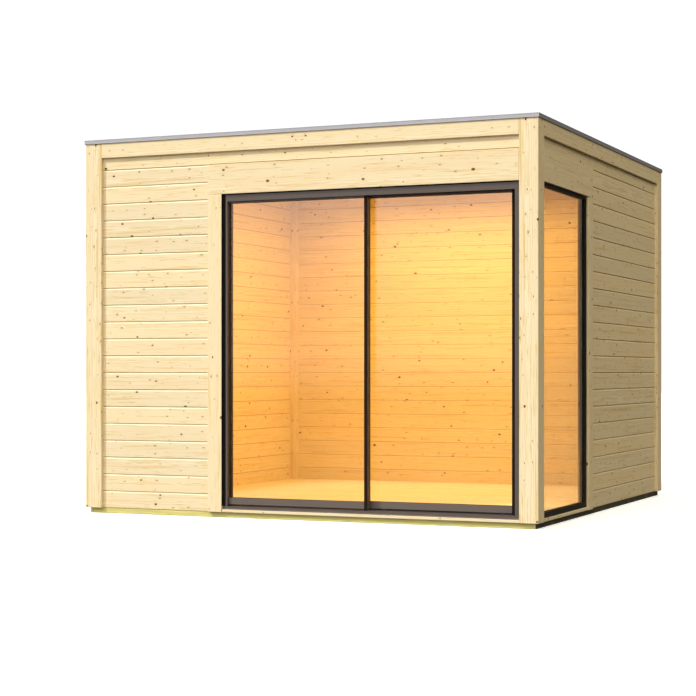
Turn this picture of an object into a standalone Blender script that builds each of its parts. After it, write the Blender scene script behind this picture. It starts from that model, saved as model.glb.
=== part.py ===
"""Garden room: a square timber cabin with a flat roof, corner posts and board walls.

The front has a two-track sliding door with two glazed leaves, and the right side
has a fixed floor-to-lintel window. Metres, +Z up. The origin is at the centre of
the footprint on the ground, the door faces -Y and the window faces +X.
"""

import math

import bmesh
import bpy
from mathutils import Matrix, Vector

# Clearances between pieces
SEAT_GAP = 0.0003
RUN_CLEARANCE = 0.006
END_CLEARANCE = 0.005

# Overall form
ROOF_WIDTH = 3.08
TOTAL_HEIGHT = 2.42
TRIM_OVERHANG = 0.007
POST_SIZE = 0.118
WALL_RECESS = 0.020
WALL_THICKNESS = 0.044
EDGE_ROUND = 0.003

# Base and floor
BASE_HEIGHT = 0.034
BASE_INSET = 0.023
BASE_WIDTH = 0.080
JOIST_WIDTH = 0.060
JOIST_COUNT = 3
FLOOR_THICKNESS = 0.020

# Roof
TRIM_HEIGHT = 0.026
TRIM_THICKNESS = 0.005
TRIM_FLANGE = 0.060
TRIM_SHEET = 0.003
MEMBRANE_THICKNESS = 0.003
FASCIA_HEIGHT = 0.094
RAFTER_WIDTH = 0.045
RAFTER_HEIGHT = 0.095
RAFTER_COUNT = 3
RAFTER_POCKET = 0.022

# Door opening, and the wall strip that shows between lintel and fascia
DOOR_WIDTH = 1.953
JAMB_WIDTH = 0.098
LINTEL_HEIGHT = 0.1885
FRIEZE_HEIGHT = 0.0795
SILL_SETBACK = 0.005

# Door frame with two tracks
FRAME_RECESS = 0.016
FRAME_FRONT_LIP = 0.012
FRAME_BACK_LIP = 0.008
FRAME_WEB = 0.006
FRAME_SIDE_FACE = 0.034
FRAME_HEAD_FACE = 0.046
FRAME_REAR_FACE = 0.014
FRAME_SILL_FACE = 0.019
FRAME_SILL_WEB = 0.008
FRAME_RIB = 0.004
TRACK_WIDTH = 0.004
TRACK_HEIGHT = 0.013

# Door leaves
LEAF_THICKNESS = 0.036
LEAF_STILE = 0.024
LEAF_CATCH_STILE = 0.059
LEAF_MEETING_STILE = 0.022
LEAF_TOP_RAIL = 0.038
LEAF_BOTTOM_RAIL = 0.0416
LEAF_ROUND = 0.0015
MEETING_OFFSET = 0.0045
MEETING_OVERLAP = 0.038
GLASS_THICKNESS = 0.020
GLASS_BITE = 0.008

# Rollers under the leaves
ROLLER_RADIUS = 0.012
ROLLER_WIDTH = 0.010
ROLLER_DROP = 0.010
ROLLER_GROOVE = 0.002
ROLLER_INSET = 0.120
ROLLER_STEPS = 24

# Interlocking fins on the meeting stiles
FIN_THICKNESS = 0.003
FIN_ROOT = 0.003
FIN_EDGE = 0.0120

# Side window
WINDOW_WIDTH = 0.964
WINDOW_JAMB_DEPTH = 0.080
WINDOW_RECESS = 0.016
WINDOW_DEPTH = 0.045
WINDOW_FACE = 0.018
WINDOW_SILL_FACE = 0.032

# Levels and faces worked out from the sizes above
ROOF_EDGE = ROOF_WIDTH / 2
OUTER = ROOF_EDGE - TRIM_OVERHANG
POST_INNER = OUTER - POST_SIZE
WALL_OUTER = OUTER - WALL_RECESS
WALL_INNER = WALL_OUTER - WALL_THICKNESS
BASE_OUTER = OUTER - BASE_INSET
BASE_INNER = BASE_OUTER - BASE_WIDTH
FOOT_Z = BASE_HEIGHT + SEAT_GAP
FLOOR_Z = BASE_HEIGHT + FLOOR_THICKNESS
TOP_Z = TOTAL_HEIGHT - TRIM_HEIGHT
FASCIA_Z = TOP_Z - FASCIA_HEIGHT
LINTEL_TOP_Z = FASCIA_Z - FRIEZE_HEIGHT
HEAD_Z = LINTEL_TOP_Z - LINTEL_HEIGHT
DOOR_RIGHT_X = POST_INNER
DOOR_LEFT_X = DOOR_RIGHT_X - DOOR_WIDTH
JAMB_LEFT_X = DOOR_LEFT_X - JAMB_WIDTH

# The door frame's own levels, and the places of its two tracks
FRAME_LEFT = DOOR_LEFT_X + SEAT_GAP
FRAME_RIGHT = DOOR_RIGHT_X - SEAT_GAP
FRAME_FRONT = -OUTER + FRAME_RECESS
TRACK_BAY = LEAF_THICKNESS + 2 * RUN_CLEARANCE
FRONT_BAY = FRAME_FRONT + FRAME_FRONT_LIP
REAR_BAY = FRONT_BAY + TRACK_BAY + FRAME_RIB
FRAME_BACK = REAR_BAY + TRACK_BAY + FRAME_BACK_LIP
FRAME_Z = FLOOR_Z + SEAT_GAP
FRAME_TOP = HEAD_Z - SEAT_GAP
CHANNEL_LEFT = FRAME_LEFT + FRAME_WEB
CHANNEL_RIGHT = FRAME_RIGHT - FRAME_WEB
CHANNEL_Z = FRAME_Z + FRAME_SILL_WEB
CHANNEL_TOP = FRAME_TOP - FRAME_WEB
TRACK_TOP = CHANNEL_Z + TRACK_HEIGHT

# The leaves' own levels
LEAF_Z = TRACK_TOP + SEAT_GAP + ROLLER_DROP - ROLLER_GROOVE
LEAF_TOP = CHANNEL_TOP - 2 * RUN_CLEARANCE
FRONT_LEAF_Y = FRONT_BAY + RUN_CLEARANCE
REAR_LEAF_Y = REAR_BAY + RUN_CLEARANCE
LEAF_SPACING = REAR_LEAF_Y - FRONT_LEAF_Y - LEAF_THICKNESS
FIN_REACH = LEAF_SPACING - END_CLEARANCE
MEETING_X = (FRAME_LEFT + FRAME_RIGHT) / 2 + MEETING_OFFSET
LEFT_LEAF_X = (CHANNEL_LEFT + END_CLEARANCE, MEETING_X)
RIGHT_LEAF_X = (MEETING_X - MEETING_OVERLAP, CHANNEL_RIGHT - END_CLEARANCE)

# The window opening and its frame
WINDOW_FRONT_Y = -POST_INNER
WINDOW_REAR_Y = WINDOW_FRONT_Y + WINDOW_WIDTH
WINDOW_JAMB_Y = WINDOW_REAR_Y + JAMB_WIDTH
WINDOW_FACE_X = OUTER - WINDOW_RECESS
WINDOW_BACK_X = WINDOW_FACE_X - WINDOW_DEPTH
WINDOW_LINING_X = OUTER - WINDOW_JAMB_DEPTH


def clear_scene():
    """Empties the file, so that the room is all that it holds."""
    for item in list(bpy.data.objects):
        bpy.data.objects.remove(item, do_unlink=True)


def new_collection(name):
    """Gives a new collection under the scene's own."""
    collection = bpy.data.collections.new(name)
    bpy.context.scene.collection.children.link(collection)
    return collection


def principled(name, color, roughness, metallic=0.0, transmission=0.0):
    """Gives a material with one Principled BSDF."""
    material = bpy.data.materials.new(name)
    material.use_nodes = True
    shader = material.node_tree.nodes["Principled BSDF"]
    shader.inputs["Base Color"].default_value = (*color, 1.0)
    shader.inputs["Roughness"].default_value = roughness
    shader.inputs["Metallic"].default_value = metallic
    shader.inputs["Transmission Weight"].default_value = transmission
    return material


def natural_spruce():
    """Untreated planed spruce of the posts, walls, lintels and fascias."""
    return principled("natural_spruce", (0.80, 0.66, 0.42), 0.65)


def green_treated_timber():
    """Pressure-treated timber of the base beams and joists."""
    return principled("green_treated_timber", (0.42, 0.40, 0.17), 0.75)


def anthracite_aluminium():
    """Powder-coated profiles of the door and the window."""
    return principled("anthracite_aluminium", (0.075, 0.065, 0.060), 0.45, metallic=0.2)


def clear_glazing():
    """Double glazing, taken as one clear pane."""
    return principled("clear_glazing", (0.95, 0.97, 0.97), 0.02, transmission=1.0)


def roof_trim_metal():
    """Light grey sheet metal along the roof's edge."""
    return principled("roof_trim_metal", (0.68, 0.67, 0.68), 0.40, metallic=0.6)


def roof_membrane_rubber():
    """Dark sheet that covers the roof boards."""
    return principled("roof_membrane_rubber", (0.035, 0.035, 0.038), 0.80)


def place(item, name, material, collection):
    """Names an object, dresses it and moves it to its collection."""
    item.name = name
    item.data.name = name
    item.data.materials.clear()
    if material is not None:
        item.data.materials.append(material)
    for owner in list(item.users_collection):
        owner.objects.unlink(item)
    collection.objects.link(item)
    return item


def block(name, low, high, material, collection, rounding=0.0):
    """Makes a box between two corners, with rounded edges where asked."""
    low = Vector(low)
    high = Vector(high)
    bpy.ops.mesh.primitive_cube_add(size=1.0, location=(low + high) / 2)
    item = bpy.context.active_object
    item.scale = high - low
    bpy.ops.object.transform_apply(location=False, rotation=False, scale=True)
    place(item, name, material, collection)
    if rounding > 0.0:
        bevel = item.modifiers.new("rounded_edges", "BEVEL")
        bevel.width = rounding
        bevel.segments = 2
        bevel.limit_method = "ANGLE"
        bevel.use_clamp_overlap = True
    return item


def cutter_block(name, low, high, cutters):
    """Makes a box that only cuts."""
    item = block(name, low, high, None, cutters)
    hide_cutter(item)
    return item


def hide_cutter(item):
    """Marks an object as a guide that isn't part of the room."""
    item.hide_render = True
    item.display_type = "WIRE"


def boolean(item, tool, operation):
    """Cuts or joins one object with another."""
    modifier = item.modifiers.new(tool.name, "BOOLEAN")
    modifier.operation = operation
    modifier.solver = "EXACT"
    modifier.object = tool


def cut(item, *tools):
    """Takes each tool's shape out of the object."""
    for tool in tools:
        boolean(item, tool, "DIFFERENCE")


def fuse(item, *tools):
    """Adds each tool's shape to the object."""
    for tool in tools:
        boolean(item, tool, "UNION")


def edge_band(side, outer, inner, length):
    """Gives the plan corners of a straight band along one side of the building.

    The band lies between two distances from the centre and is as long, each way
    from the middle of its side, as the last value says.
    """
    if side == "front":
        return (-length, -outer), (length, -inner)
    if side == "back":
        return (-length, inner), (length, outer)
    if side == "left":
        return (-outer, -length), (-inner, length)
    return (inner, -length), (outer, length)


def spread(count, half_span):
    """Gives evenly spaced places between two ends, with equal bays outside them."""
    step = 2 * half_span / (count + 1)
    return [-half_span + step * (index + 1) for index in range(count)]


def base_beams(material, parts):
    """Ring of ground beams: the front and back ones run through."""
    for side in ("front", "back", "left", "right"):
        through = side in ("front", "back")
        length = BASE_OUTER if through else BASE_INNER - SEAT_GAP
        low, high = edge_band(side, BASE_OUTER, BASE_INNER, length)
        block(f"base_{side}", (*low, 0.0), (*high, BASE_HEIGHT), material, parts, EDGE_ROUND)


def floor_joists(material, parts):
    """Joists from the front beam to the back beam, under the floor."""
    reach = BASE_INNER - SEAT_GAP
    for number, x in enumerate(spread(JOIST_COUNT, BASE_INNER), start=1):
        low = (x - JOIST_WIDTH / 2, -reach, 0.0)
        high = (x + JOIST_WIDTH / 2, reach, BASE_HEIGHT)
        block(f"floor_joist_{number}", low, high, material, parts, EDGE_ROUND)


def post_corners(clearance=0.0):
    """Yields each corner post's name and its plan corners, grown by a clearance."""
    for depth_name, sy in (("front", -1), ("back", 1)):
        for side_name, sx in (("left", -1), ("right", 1)):
            xs = sorted((sx * (POST_INNER - clearance), sx * (OUTER + clearance)))
            ys = sorted((sy * (POST_INNER - clearance), sy * (OUTER + clearance)))
            yield f"{depth_name}_{side_name}", (xs[0], ys[0]), (xs[1], ys[1])


def corner_posts(material, parts):
    """Square posts at the corners, from the base up to the roof boards."""
    for place_name, low, high in post_corners():
        block(f"post_{place_name}", (*low, FOOT_Z), (*high, TOP_Z), material, parts, EDGE_ROUND)


def floor(material, parts, cutters):
    """Boarded floor inside the walls, cut round the posts, jambs and sills."""
    reach = WALL_INNER - SEAT_GAP
    slab = block("floor", (-reach, -reach, FOOT_Z), (reach, reach, FLOOR_Z), material, parts)
    low_z = FOOT_Z - EDGE_ROUND
    high_z = FLOOR_Z + EDGE_ROUND
    tools = []
    for place_name, low, high in post_corners(SEAT_GAP):
        tools.append(cutter_block(f"floor_notch_{place_name}", (*low, low_z), (*high, high_z), cutters))
    door_low = (DOOR_LEFT_X - SEAT_GAP, -OUTER, low_z)
    door_high = (OUTER, FRAME_BACK + SEAT_GAP, high_z)
    tools.append(cutter_block("floor_notch_door", door_low, door_high, cutters))
    jamb_low = (JAMB_LEFT_X - SEAT_GAP, -OUTER, low_z)
    jamb_high = (DOOR_LEFT_X, -POST_INNER + SEAT_GAP, high_z)
    tools.append(cutter_block("floor_notch_jamb", jamb_low, jamb_high, cutters))
    window_low = (WINDOW_LINING_X - SEAT_GAP, -OUTER, low_z)
    window_high = (OUTER, WINDOW_JAMB_Y + SEAT_GAP, high_z)
    tools.append(cutter_block("floor_notch_window", window_low, window_high, cutters))
    cut(slab, *tools)


def rafter_places():
    """Gives the rafters' places across the roof."""
    return spread(RAFTER_COUNT, WALL_INNER)


def cut_rafter_pockets(wall, side, low_x, high_x, cutters):
    """Cuts the pockets that carry the rafters' ends into the inside of a wall."""
    direction = -1 if side == "front" else 1
    for number, x in enumerate(rafter_places(), start=1):
        if not low_x < x < high_x:
            continue
        half = RAFTER_WIDTH / 2 + SEAT_GAP
        ys = sorted((direction * (WALL_INNER + RAFTER_POCKET), direction * (WALL_INNER - EDGE_ROUND)))
        low = (x - half, ys[0], TOP_Z - RAFTER_HEIGHT - SEAT_GAP)
        high = (x + half, ys[1], TOP_Z + EDGE_ROUND)
        cut(wall, cutter_block(f"pocket_{side}_{number}", low, high, cutters))


def front_walls(material, parts, cutters):
    """Wall left of the door, and the strip of wall above the lintel."""
    low_x = -POST_INNER + SEAT_GAP
    panel_end = JAMB_LEFT_X - SEAT_GAP
    top_end = POST_INNER - SEAT_GAP
    panel = block(
        "front_wall", (low_x, -WALL_OUTER, FOOT_Z), (panel_end, -WALL_INNER, TOP_Z), material, parts
    )
    cut_rafter_pockets(panel, "front", low_x, panel_end, cutters)
    strip = block(
        "front_wall_top",
        (panel_end + SEAT_GAP, -WALL_OUTER, LINTEL_TOP_Z + SEAT_GAP),
        (top_end, -WALL_INNER, TOP_Z),
        material,
        parts,
    )
    cut_rafter_pockets(strip, "front", panel_end + SEAT_GAP, top_end, cutters)


def closed_walls(material, parts, cutters):
    """Left and back walls, which have no opening."""
    reach = POST_INNER - SEAT_GAP
    low, high = edge_band("left", WALL_OUTER, WALL_INNER, reach)
    block("left_wall", (*low, FOOT_Z), (*high, TOP_Z), material, parts)
    low, high = edge_band("back", WALL_OUTER, WALL_INNER, reach)
    back = block("back_wall", (*low, FOOT_Z), (*high, TOP_Z), material, parts)
    cut_rafter_pockets(back, "back", -reach, reach, cutters)


def right_walls(material, parts):
    """Wall behind the side window, and the strip of wall above its lintel."""
    reach = POST_INNER - SEAT_GAP
    split = WINDOW_JAMB_Y + SEAT_GAP
    block("right_wall", (WALL_INNER, split, FOOT_Z), (WALL_OUTER, reach, TOP_Z), material, parts)
    low = (WALL_INNER, -reach, LINTEL_TOP_Z + SEAT_GAP)
    high = (WALL_OUTER, split - SEAT_GAP, TOP_Z)
    block("right_wall_top", low, high, material, parts)


def door_surround(material, parts):
    """Jamb, lintel and sill board round the sliding door, flush with the posts."""
    post_front = -OUTER
    post_back = -POST_INNER
    block(
        "door_jamb",
        (JAMB_LEFT_X, post_front, FOOT_Z),
        (DOOR_LEFT_X, post_back, HEAD_Z - SEAT_GAP),
        material,
        parts,
        EDGE_ROUND,
    )
    block(
        "door_lintel",
        (JAMB_LEFT_X, post_front, HEAD_Z),
        (DOOR_RIGHT_X - SEAT_GAP, post_back, LINTEL_TOP_Z),
        material,
        parts,
        EDGE_ROUND,
    )
    block(
        "door_sill",
        (FRAME_LEFT, post_front + SILL_SETBACK, FOOT_Z),
        (FRAME_RIGHT, FRAME_BACK, FLOOR_Z),
        material,
        parts,
        EDGE_ROUND,
    )


def window_surround(material, parts):
    """Jamb, lintel and sill board round the side window."""
    front = WINDOW_FRONT_Y + SEAT_GAP
    block(
        "window_jamb",
        (WINDOW_LINING_X, WINDOW_REAR_Y, FOOT_Z),
        (OUTER, WINDOW_JAMB_Y, HEAD_Z - SEAT_GAP),
        material,
        parts,
        EDGE_ROUND,
    )
    block(
        "window_lintel",
        (WINDOW_LINING_X, front, HEAD_Z),
        (OUTER, WINDOW_JAMB_Y, LINTEL_TOP_Z),
        material,
        parts,
        EDGE_ROUND,
    )
    block(
        "window_sill",
        (WINDOW_LINING_X, front, FOOT_Z),
        (OUTER - SILL_SETBACK, WINDOW_REAR_Y - SEAT_GAP, FLOOR_Z),
        material,
        parts,
        EDGE_ROUND,
    )


def fascias(material, parts):
    """Boards between the posts under the roof's edge, flush with the posts."""
    for side in ("front", "back", "left", "right"):
        low, high = edge_band(side, OUTER, WALL_OUTER + SEAT_GAP, POST_INNER - SEAT_GAP)
        block(f"fascia_{side}", (*low, FASCIA_Z), (*high, TOP_Z), material, parts, EDGE_ROUND)


def rafters(material, parts):
    """Rafters whose ends lie in the pockets of the front and back walls."""
    reach = WALL_INNER + RAFTER_POCKET - SEAT_GAP
    for number, x in enumerate(rafter_places(), start=1):
        low = (x - RAFTER_WIDTH / 2, -reach, TOP_Z - RAFTER_HEIGHT)
        high = (x + RAFTER_WIDTH / 2, reach, TOP_Z)
        block(f"rafter_{number}", low, high, material, parts)


def roof(board, sheet, parts):
    """Roof boards over walls, posts and rafters, with the sheet that covers them."""
    reach = ROOF_EDGE - TRIM_THICKNESS - SEAT_GAP
    sheet_top = TOTAL_HEIGHT - TRIM_SHEET - SEAT_GAP
    sheet_low = sheet_top - MEMBRANE_THICKNESS
    deck_low = (-reach, -reach, TOP_Z + SEAT_GAP)
    block("roof_deck", deck_low, (reach, reach, sheet_low - SEAT_GAP), board, parts)
    block("roof_membrane", (-reach, -reach, sheet_low), (reach, reach, sheet_top), sheet, parts)


def mitre_tool(name, corner, side, cutters):
    """Makes the wedge that takes a trim's end off along the corner's diagonal."""
    size = 4 * TRIM_FLANGE
    bpy.ops.mesh.primitive_cube_add(size=1.0)
    item = bpy.context.active_object
    item.data.transform(Matrix.Diagonal((size, size, size, 1.0)))
    along_x = side in ("front", "back")
    away = Vector((math.copysign(1, corner[0]), -math.copysign(1, corner[1]), 0.0)).normalized()
    if not along_x:
        away = -away
    place(item, name, None, cutters)
    hide_cutter(item)
    item.rotation_euler = (0.0, 0.0, math.radians(45))
    item.location = Vector((corner[0], corner[1], TOTAL_HEIGHT)) + away * (size / 2 - SEAT_GAP / 2)
    return item


def roof_trims(material, parts, cutters):
    """Angle trims along the roof's edge, mitred at the corners."""
    flange_z = TOTAL_HEIGHT - TRIM_SHEET
    for side in ("front", "back", "left", "right"):
        low, high = edge_band(side, ROOF_EDGE, ROOF_EDGE - TRIM_FLANGE, ROOF_EDGE)
        trim = block(f"roof_trim_{side}", (*low, TOP_Z), (*high, TOTAL_HEIGHT), material, parts)
        low, high = edge_band(
            side, ROOF_EDGE - TRIM_THICKNESS, ROOF_EDGE - TRIM_FLANGE - EDGE_ROUND, ROOF_EDGE + EDGE_ROUND
        )
        cut(trim, cutter_block(f"trim_rebate_{side}", (*low, TOP_Z - EDGE_ROUND), (*high, flange_z), cutters))
        for sign in (-1, 1):
            corner = {
                "front": (sign * ROOF_EDGE, -ROOF_EDGE),
                "back": (sign * ROOF_EDGE, ROOF_EDGE),
                "left": (-ROOF_EDGE, sign * ROOF_EDGE),
                "right": (ROOF_EDGE, sign * ROOF_EDGE),
            }[side]
            end = "start" if sign < 0 else "end"
            cut(trim, mitre_tool(f"mitre_{side}_{end}", corner, side, cutters))


def track_bar(name, bay, cutters):
    """Raised bar in the door frame that a leaf's rollers run on."""
    middle = bay + TRACK_BAY / 2
    low = (CHANNEL_LEFT - FRAME_WEB / 2, middle - TRACK_WIDTH / 2, CHANNEL_Z - FRAME_SILL_WEB / 2)
    high = (CHANNEL_RIGHT + FRAME_WEB / 2, middle + TRACK_WIDTH / 2, TRACK_TOP)
    bar = block(name, low, high, None, cutters)
    hide_cutter(bar)
    return bar


def door_frame(material, parts, cutters):
    """Outer frame of the door: two channels all round, with a track bar in each.

    At the sides the rib and the rear lip are narrower than the front lip.
    """
    frame = block(
        "door_frame",
        (FRAME_LEFT, FRAME_FRONT, FRAME_Z),
        (FRAME_RIGHT, FRAME_BACK, FRAME_TOP),
        material,
        parts,
    )
    low_z = FRAME_Z + FRAME_SILL_FACE
    high_z = FRAME_TOP - FRAME_HEAD_FACE
    front_opening = cutter_block(
        "door_frame_front_opening",
        (FRAME_LEFT + FRAME_SIDE_FACE, FRAME_FRONT - EDGE_ROUND, low_z),
        (FRAME_RIGHT - FRAME_SIDE_FACE, FRONT_BAY + RUN_CLEARANCE, high_z),
        cutters,
    )
    rear_opening = cutter_block(
        "door_frame_rear_opening",
        (FRAME_LEFT + FRAME_REAR_FACE, FRONT_BAY + RUN_CLEARANCE / 2, low_z),
        (FRAME_RIGHT - FRAME_REAR_FACE, FRAME_BACK + EDGE_ROUND, high_z),
        cutters,
    )
    cut(frame, front_opening, rear_opening)
    for bay_name, bay in (("front", FRONT_BAY), ("rear", REAR_BAY)):
        low = (CHANNEL_LEFT, bay, CHANNEL_Z)
        high = (CHANNEL_RIGHT, bay + TRACK_BAY, CHANNEL_TOP)
        cut(frame, cutter_block(f"door_channel_{bay_name}", low, high, cutters))
        fuse(frame, track_bar(f"door_track_{bay_name}", bay, cutters))


def roller(name, x, y, cutters):
    """Grooved wheel let into a leaf's bottom rail, turned from its profile."""
    half = ROLLER_WIDTH / 2
    groove = TRACK_WIDTH / 2 + SEAT_GAP
    neck = ROLLER_RADIUS - ROLLER_GROOVE
    profile = [
        (0.0, half),
        (ROLLER_RADIUS, half),
        (ROLLER_RADIUS, groove),
        (neck, groove),
        (neck, -groove),
        (ROLLER_RADIUS, -groove),
        (ROLLER_RADIUS, -half),
        (0.0, -half),
    ]
    mesh = bpy.data.meshes.new(name)
    shape = bmesh.new()
    points = [shape.verts.new((radius, 0.0, height)) for radius, height in profile]
    for first, second in zip(points, points[1:]):
        shape.edges.new((first, second))
    shape.to_mesh(mesh)
    shape.free()
    wheel = bpy.data.objects.new(name, mesh)
    cutters.objects.link(wheel)
    hide_cutter(wheel)
    turn = wheel.modifiers.new("turned", "SCREW")
    turn.steps = ROLLER_STEPS
    turn.render_steps = ROLLER_STEPS
    turn.use_merge_vertices = True
    turn.merge_threshold = 0.00001
    turn.use_normal_calculate = True
    wheel.rotation_euler = (math.radians(90), 0.0, 0.0)
    wheel.location = (x, y, LEAF_Z - ROLLER_DROP + ROLLER_RADIUS)
    return wheel


def leaf_frame(name, span_x, y, left_stile, right_stile, material, parts, cutters):
    """Frame of one leaf, grooved inside for its glass and carried on two rollers."""
    frame = block(
        f"{name}_frame",
        (span_x[0], y, LEAF_Z),
        (span_x[1], y + LEAF_THICKNESS, LEAF_TOP),
        material,
        parts,
        LEAF_ROUND,
    )
    clear_low = (span_x[0] + left_stile, LEAF_Z + LEAF_BOTTOM_RAIL)
    clear_high = (span_x[1] - right_stile, LEAF_TOP - LEAF_TOP_RAIL)
    opening = cutter_block(
        f"{name}_opening",
        (clear_low[0], y - EDGE_ROUND, clear_low[1]),
        (clear_high[0], y + LEAF_THICKNESS + EDGE_ROUND, clear_high[1]),
        cutters,
    )
    margin = GLASS_BITE + SEAT_GAP
    glass_y = y + (LEAF_THICKNESS - GLASS_THICKNESS) / 2
    groove = cutter_block(
        f"{name}_groove",
        (clear_low[0] - margin, glass_y - SEAT_GAP, clear_low[1] - margin),
        (clear_high[0] + margin, glass_y + GLASS_THICKNESS + SEAT_GAP, clear_high[1] + margin),
        cutters,
    )
    cut(frame, opening, groove)
    middle_y = y + LEAF_THICKNESS / 2
    for end, x in (("left", span_x[0] + ROLLER_INSET), ("right", span_x[1] - ROLLER_INSET)):
        fuse(frame, roller(f"{name}_roller_{end}", x, middle_y, cutters))
    return frame, clear_low, clear_high, glass_y


def leaf_glass(name, clear_low, clear_high, glass_y, material, parts):
    """Pane that fills a leaf, held in the groove of its frame."""
    low = (clear_low[0] - GLASS_BITE, glass_y, clear_low[1] - GLASS_BITE)
    high = (clear_high[0] + GLASS_BITE, glass_y + GLASS_THICKNESS, clear_high[1] + GLASS_BITE)
    block(f"{name}_glass", low, high, material, parts)


def interlock_fin(name, frame, x, face_y, direction, material, parts, cutters):
    """Upright fin that stands out of a meeting stile and covers the other's."""
    low_z = FRAME_Z + FRAME_SILL_FACE + 2 * RUN_CLEARANCE
    high_z = FRAME_TOP - FRAME_HEAD_FACE - RUN_CLEARANCE
    half = FIN_THICKNESS / 2
    root = sorted((face_y - direction * FIN_ROOT, face_y + direction * EDGE_ROUND))
    slot_low = (x - half - SEAT_GAP, root[0], low_z - SEAT_GAP)
    slot_high = (x + half + SEAT_GAP, root[1], high_z + SEAT_GAP)
    cut(frame, cutter_block(f"{name}_slot", slot_low, slot_high, cutters))
    ys = sorted((face_y - direction * (FIN_ROOT - SEAT_GAP), face_y + direction * FIN_REACH))
    block(name, (x - half, ys[0], low_z), (x + half, ys[1], high_z), material, parts, FIN_THICKNESS / 4)


def door_leaves(metal, glazing, parts, cutters):
    """Both sliding leaves: the left one runs on the front track."""
    frame, low, high, glass_y = leaf_frame(
        "left_leaf", LEFT_LEAF_X, FRONT_LEAF_Y, LEAF_STILE, LEAF_MEETING_STILE, metal, parts, cutters
    )
    leaf_glass("left_leaf", low, high, glass_y, glazing, parts)
    fin_x = LEFT_LEAF_X[1] - FIN_EDGE - FIN_THICKNESS / 2
    back_face = FRONT_LEAF_Y + LEAF_THICKNESS
    interlock_fin("left_leaf_fin", frame, fin_x, back_face, 1, metal, parts, cutters)
    frame, low, high, glass_y = leaf_frame(
        "right_leaf", RIGHT_LEAF_X, REAR_LEAF_Y, LEAF_MEETING_STILE, LEAF_CATCH_STILE, metal, parts, cutters
    )
    leaf_glass("right_leaf", low, high, glass_y, glazing, parts)
    fin_x = fin_x - END_CLEARANCE - FIN_THICKNESS
    interlock_fin("right_leaf_fin", frame, fin_x, REAR_LEAF_Y, -1, metal, parts, cutters)


def side_window(metal, glazing, parts, cutters):
    """Fixed window in the right wall: a slim frame grooved for its pane."""
    low_y = WINDOW_FRONT_Y + SEAT_GAP
    high_y = WINDOW_REAR_Y - SEAT_GAP
    frame = block(
        "window_frame",
        (WINDOW_BACK_X, low_y, FRAME_Z),
        (WINDOW_FACE_X, high_y, FRAME_TOP),
        metal,
        parts,
        LEAF_ROUND,
    )
    clear_low = (low_y + WINDOW_FACE, FRAME_Z + WINDOW_SILL_FACE)
    clear_high = (high_y - WINDOW_FACE, FRAME_TOP - WINDOW_FACE)
    opening = cutter_block(
        "window_opening",
        (WINDOW_BACK_X - EDGE_ROUND, *clear_low),
        (WINDOW_FACE_X + EDGE_ROUND, *clear_high),
        cutters,
    )
    margin = GLASS_BITE + SEAT_GAP
    glass_x = WINDOW_BACK_X + (WINDOW_DEPTH - GLASS_THICKNESS) / 2
    groove = cutter_block(
        "window_groove",
        (glass_x - SEAT_GAP, clear_low[0] - margin, clear_low[1] - margin),
        (glass_x + GLASS_THICKNESS + SEAT_GAP, clear_high[0] + margin, clear_high[1] + margin),
        cutters,
    )
    cut(frame, opening, groove)
    low = (glass_x, clear_low[0] - GLASS_BITE, clear_low[1] - GLASS_BITE)
    high = (glass_x + GLASS_THICKNESS, clear_high[0] + GLASS_BITE, clear_high[1] + GLASS_BITE)
    block("window_glass", low, high, glazing, parts)


def mount_on_slide(leaf_name, span_x, y, parts):
    """Hangs a leaf's pieces on an empty whose origin lies on its track."""
    track = bpy.data.objects.new(f"{leaf_name}_slide", None)
    track.location = (span_x[0], y + LEAF_THICKNESS / 2, TRACK_TOP)
    parts.objects.link(track)
    bpy.context.view_layer.update()
    for piece in ("frame", "glass", "fin"):
        item = parts.objects[f"{leaf_name}_{piece}"]
        item.parent = track
        item.matrix_parent_inverse = track.matrix_world.inverted()


def build():
    """Builds the whole garden room."""
    clear_scene()
    parts = new_collection("garden_room")
    cutters = new_collection("cutters")
    spruce = natural_spruce()
    treated = green_treated_timber()
    metal = anthracite_aluminium()
    glazing = clear_glazing()
    base_beams(treated, parts)
    floor_joists(treated, parts)
    floor(spruce, parts, cutters)
    corner_posts(spruce, parts)
    front_walls(spruce, parts, cutters)
    closed_walls(spruce, parts, cutters)
    right_walls(spruce, parts)
    door_surround(spruce, parts)
    window_surround(spruce, parts)
    fascias(spruce, parts)
    rafters(spruce, parts)
    roof(spruce, roof_membrane_rubber(), parts)
    roof_trims(roof_trim_metal(), parts, cutters)
    door_frame(metal, parts, cutters)
    door_leaves(metal, glazing, parts, cutters)
    side_window(metal, glazing, parts, cutters)
    mount_on_slide("left_leaf", LEFT_LEAF_X, FRONT_LEAF_Y, parts)
    mount_on_slide("right_leaf", RIGHT_LEAF_X, REAR_LEAF_Y, parts)


build()
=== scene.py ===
"""Looks of the garden room: board joints, grain, glazing, seals, roof edge and studio."""

import math
import random

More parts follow.
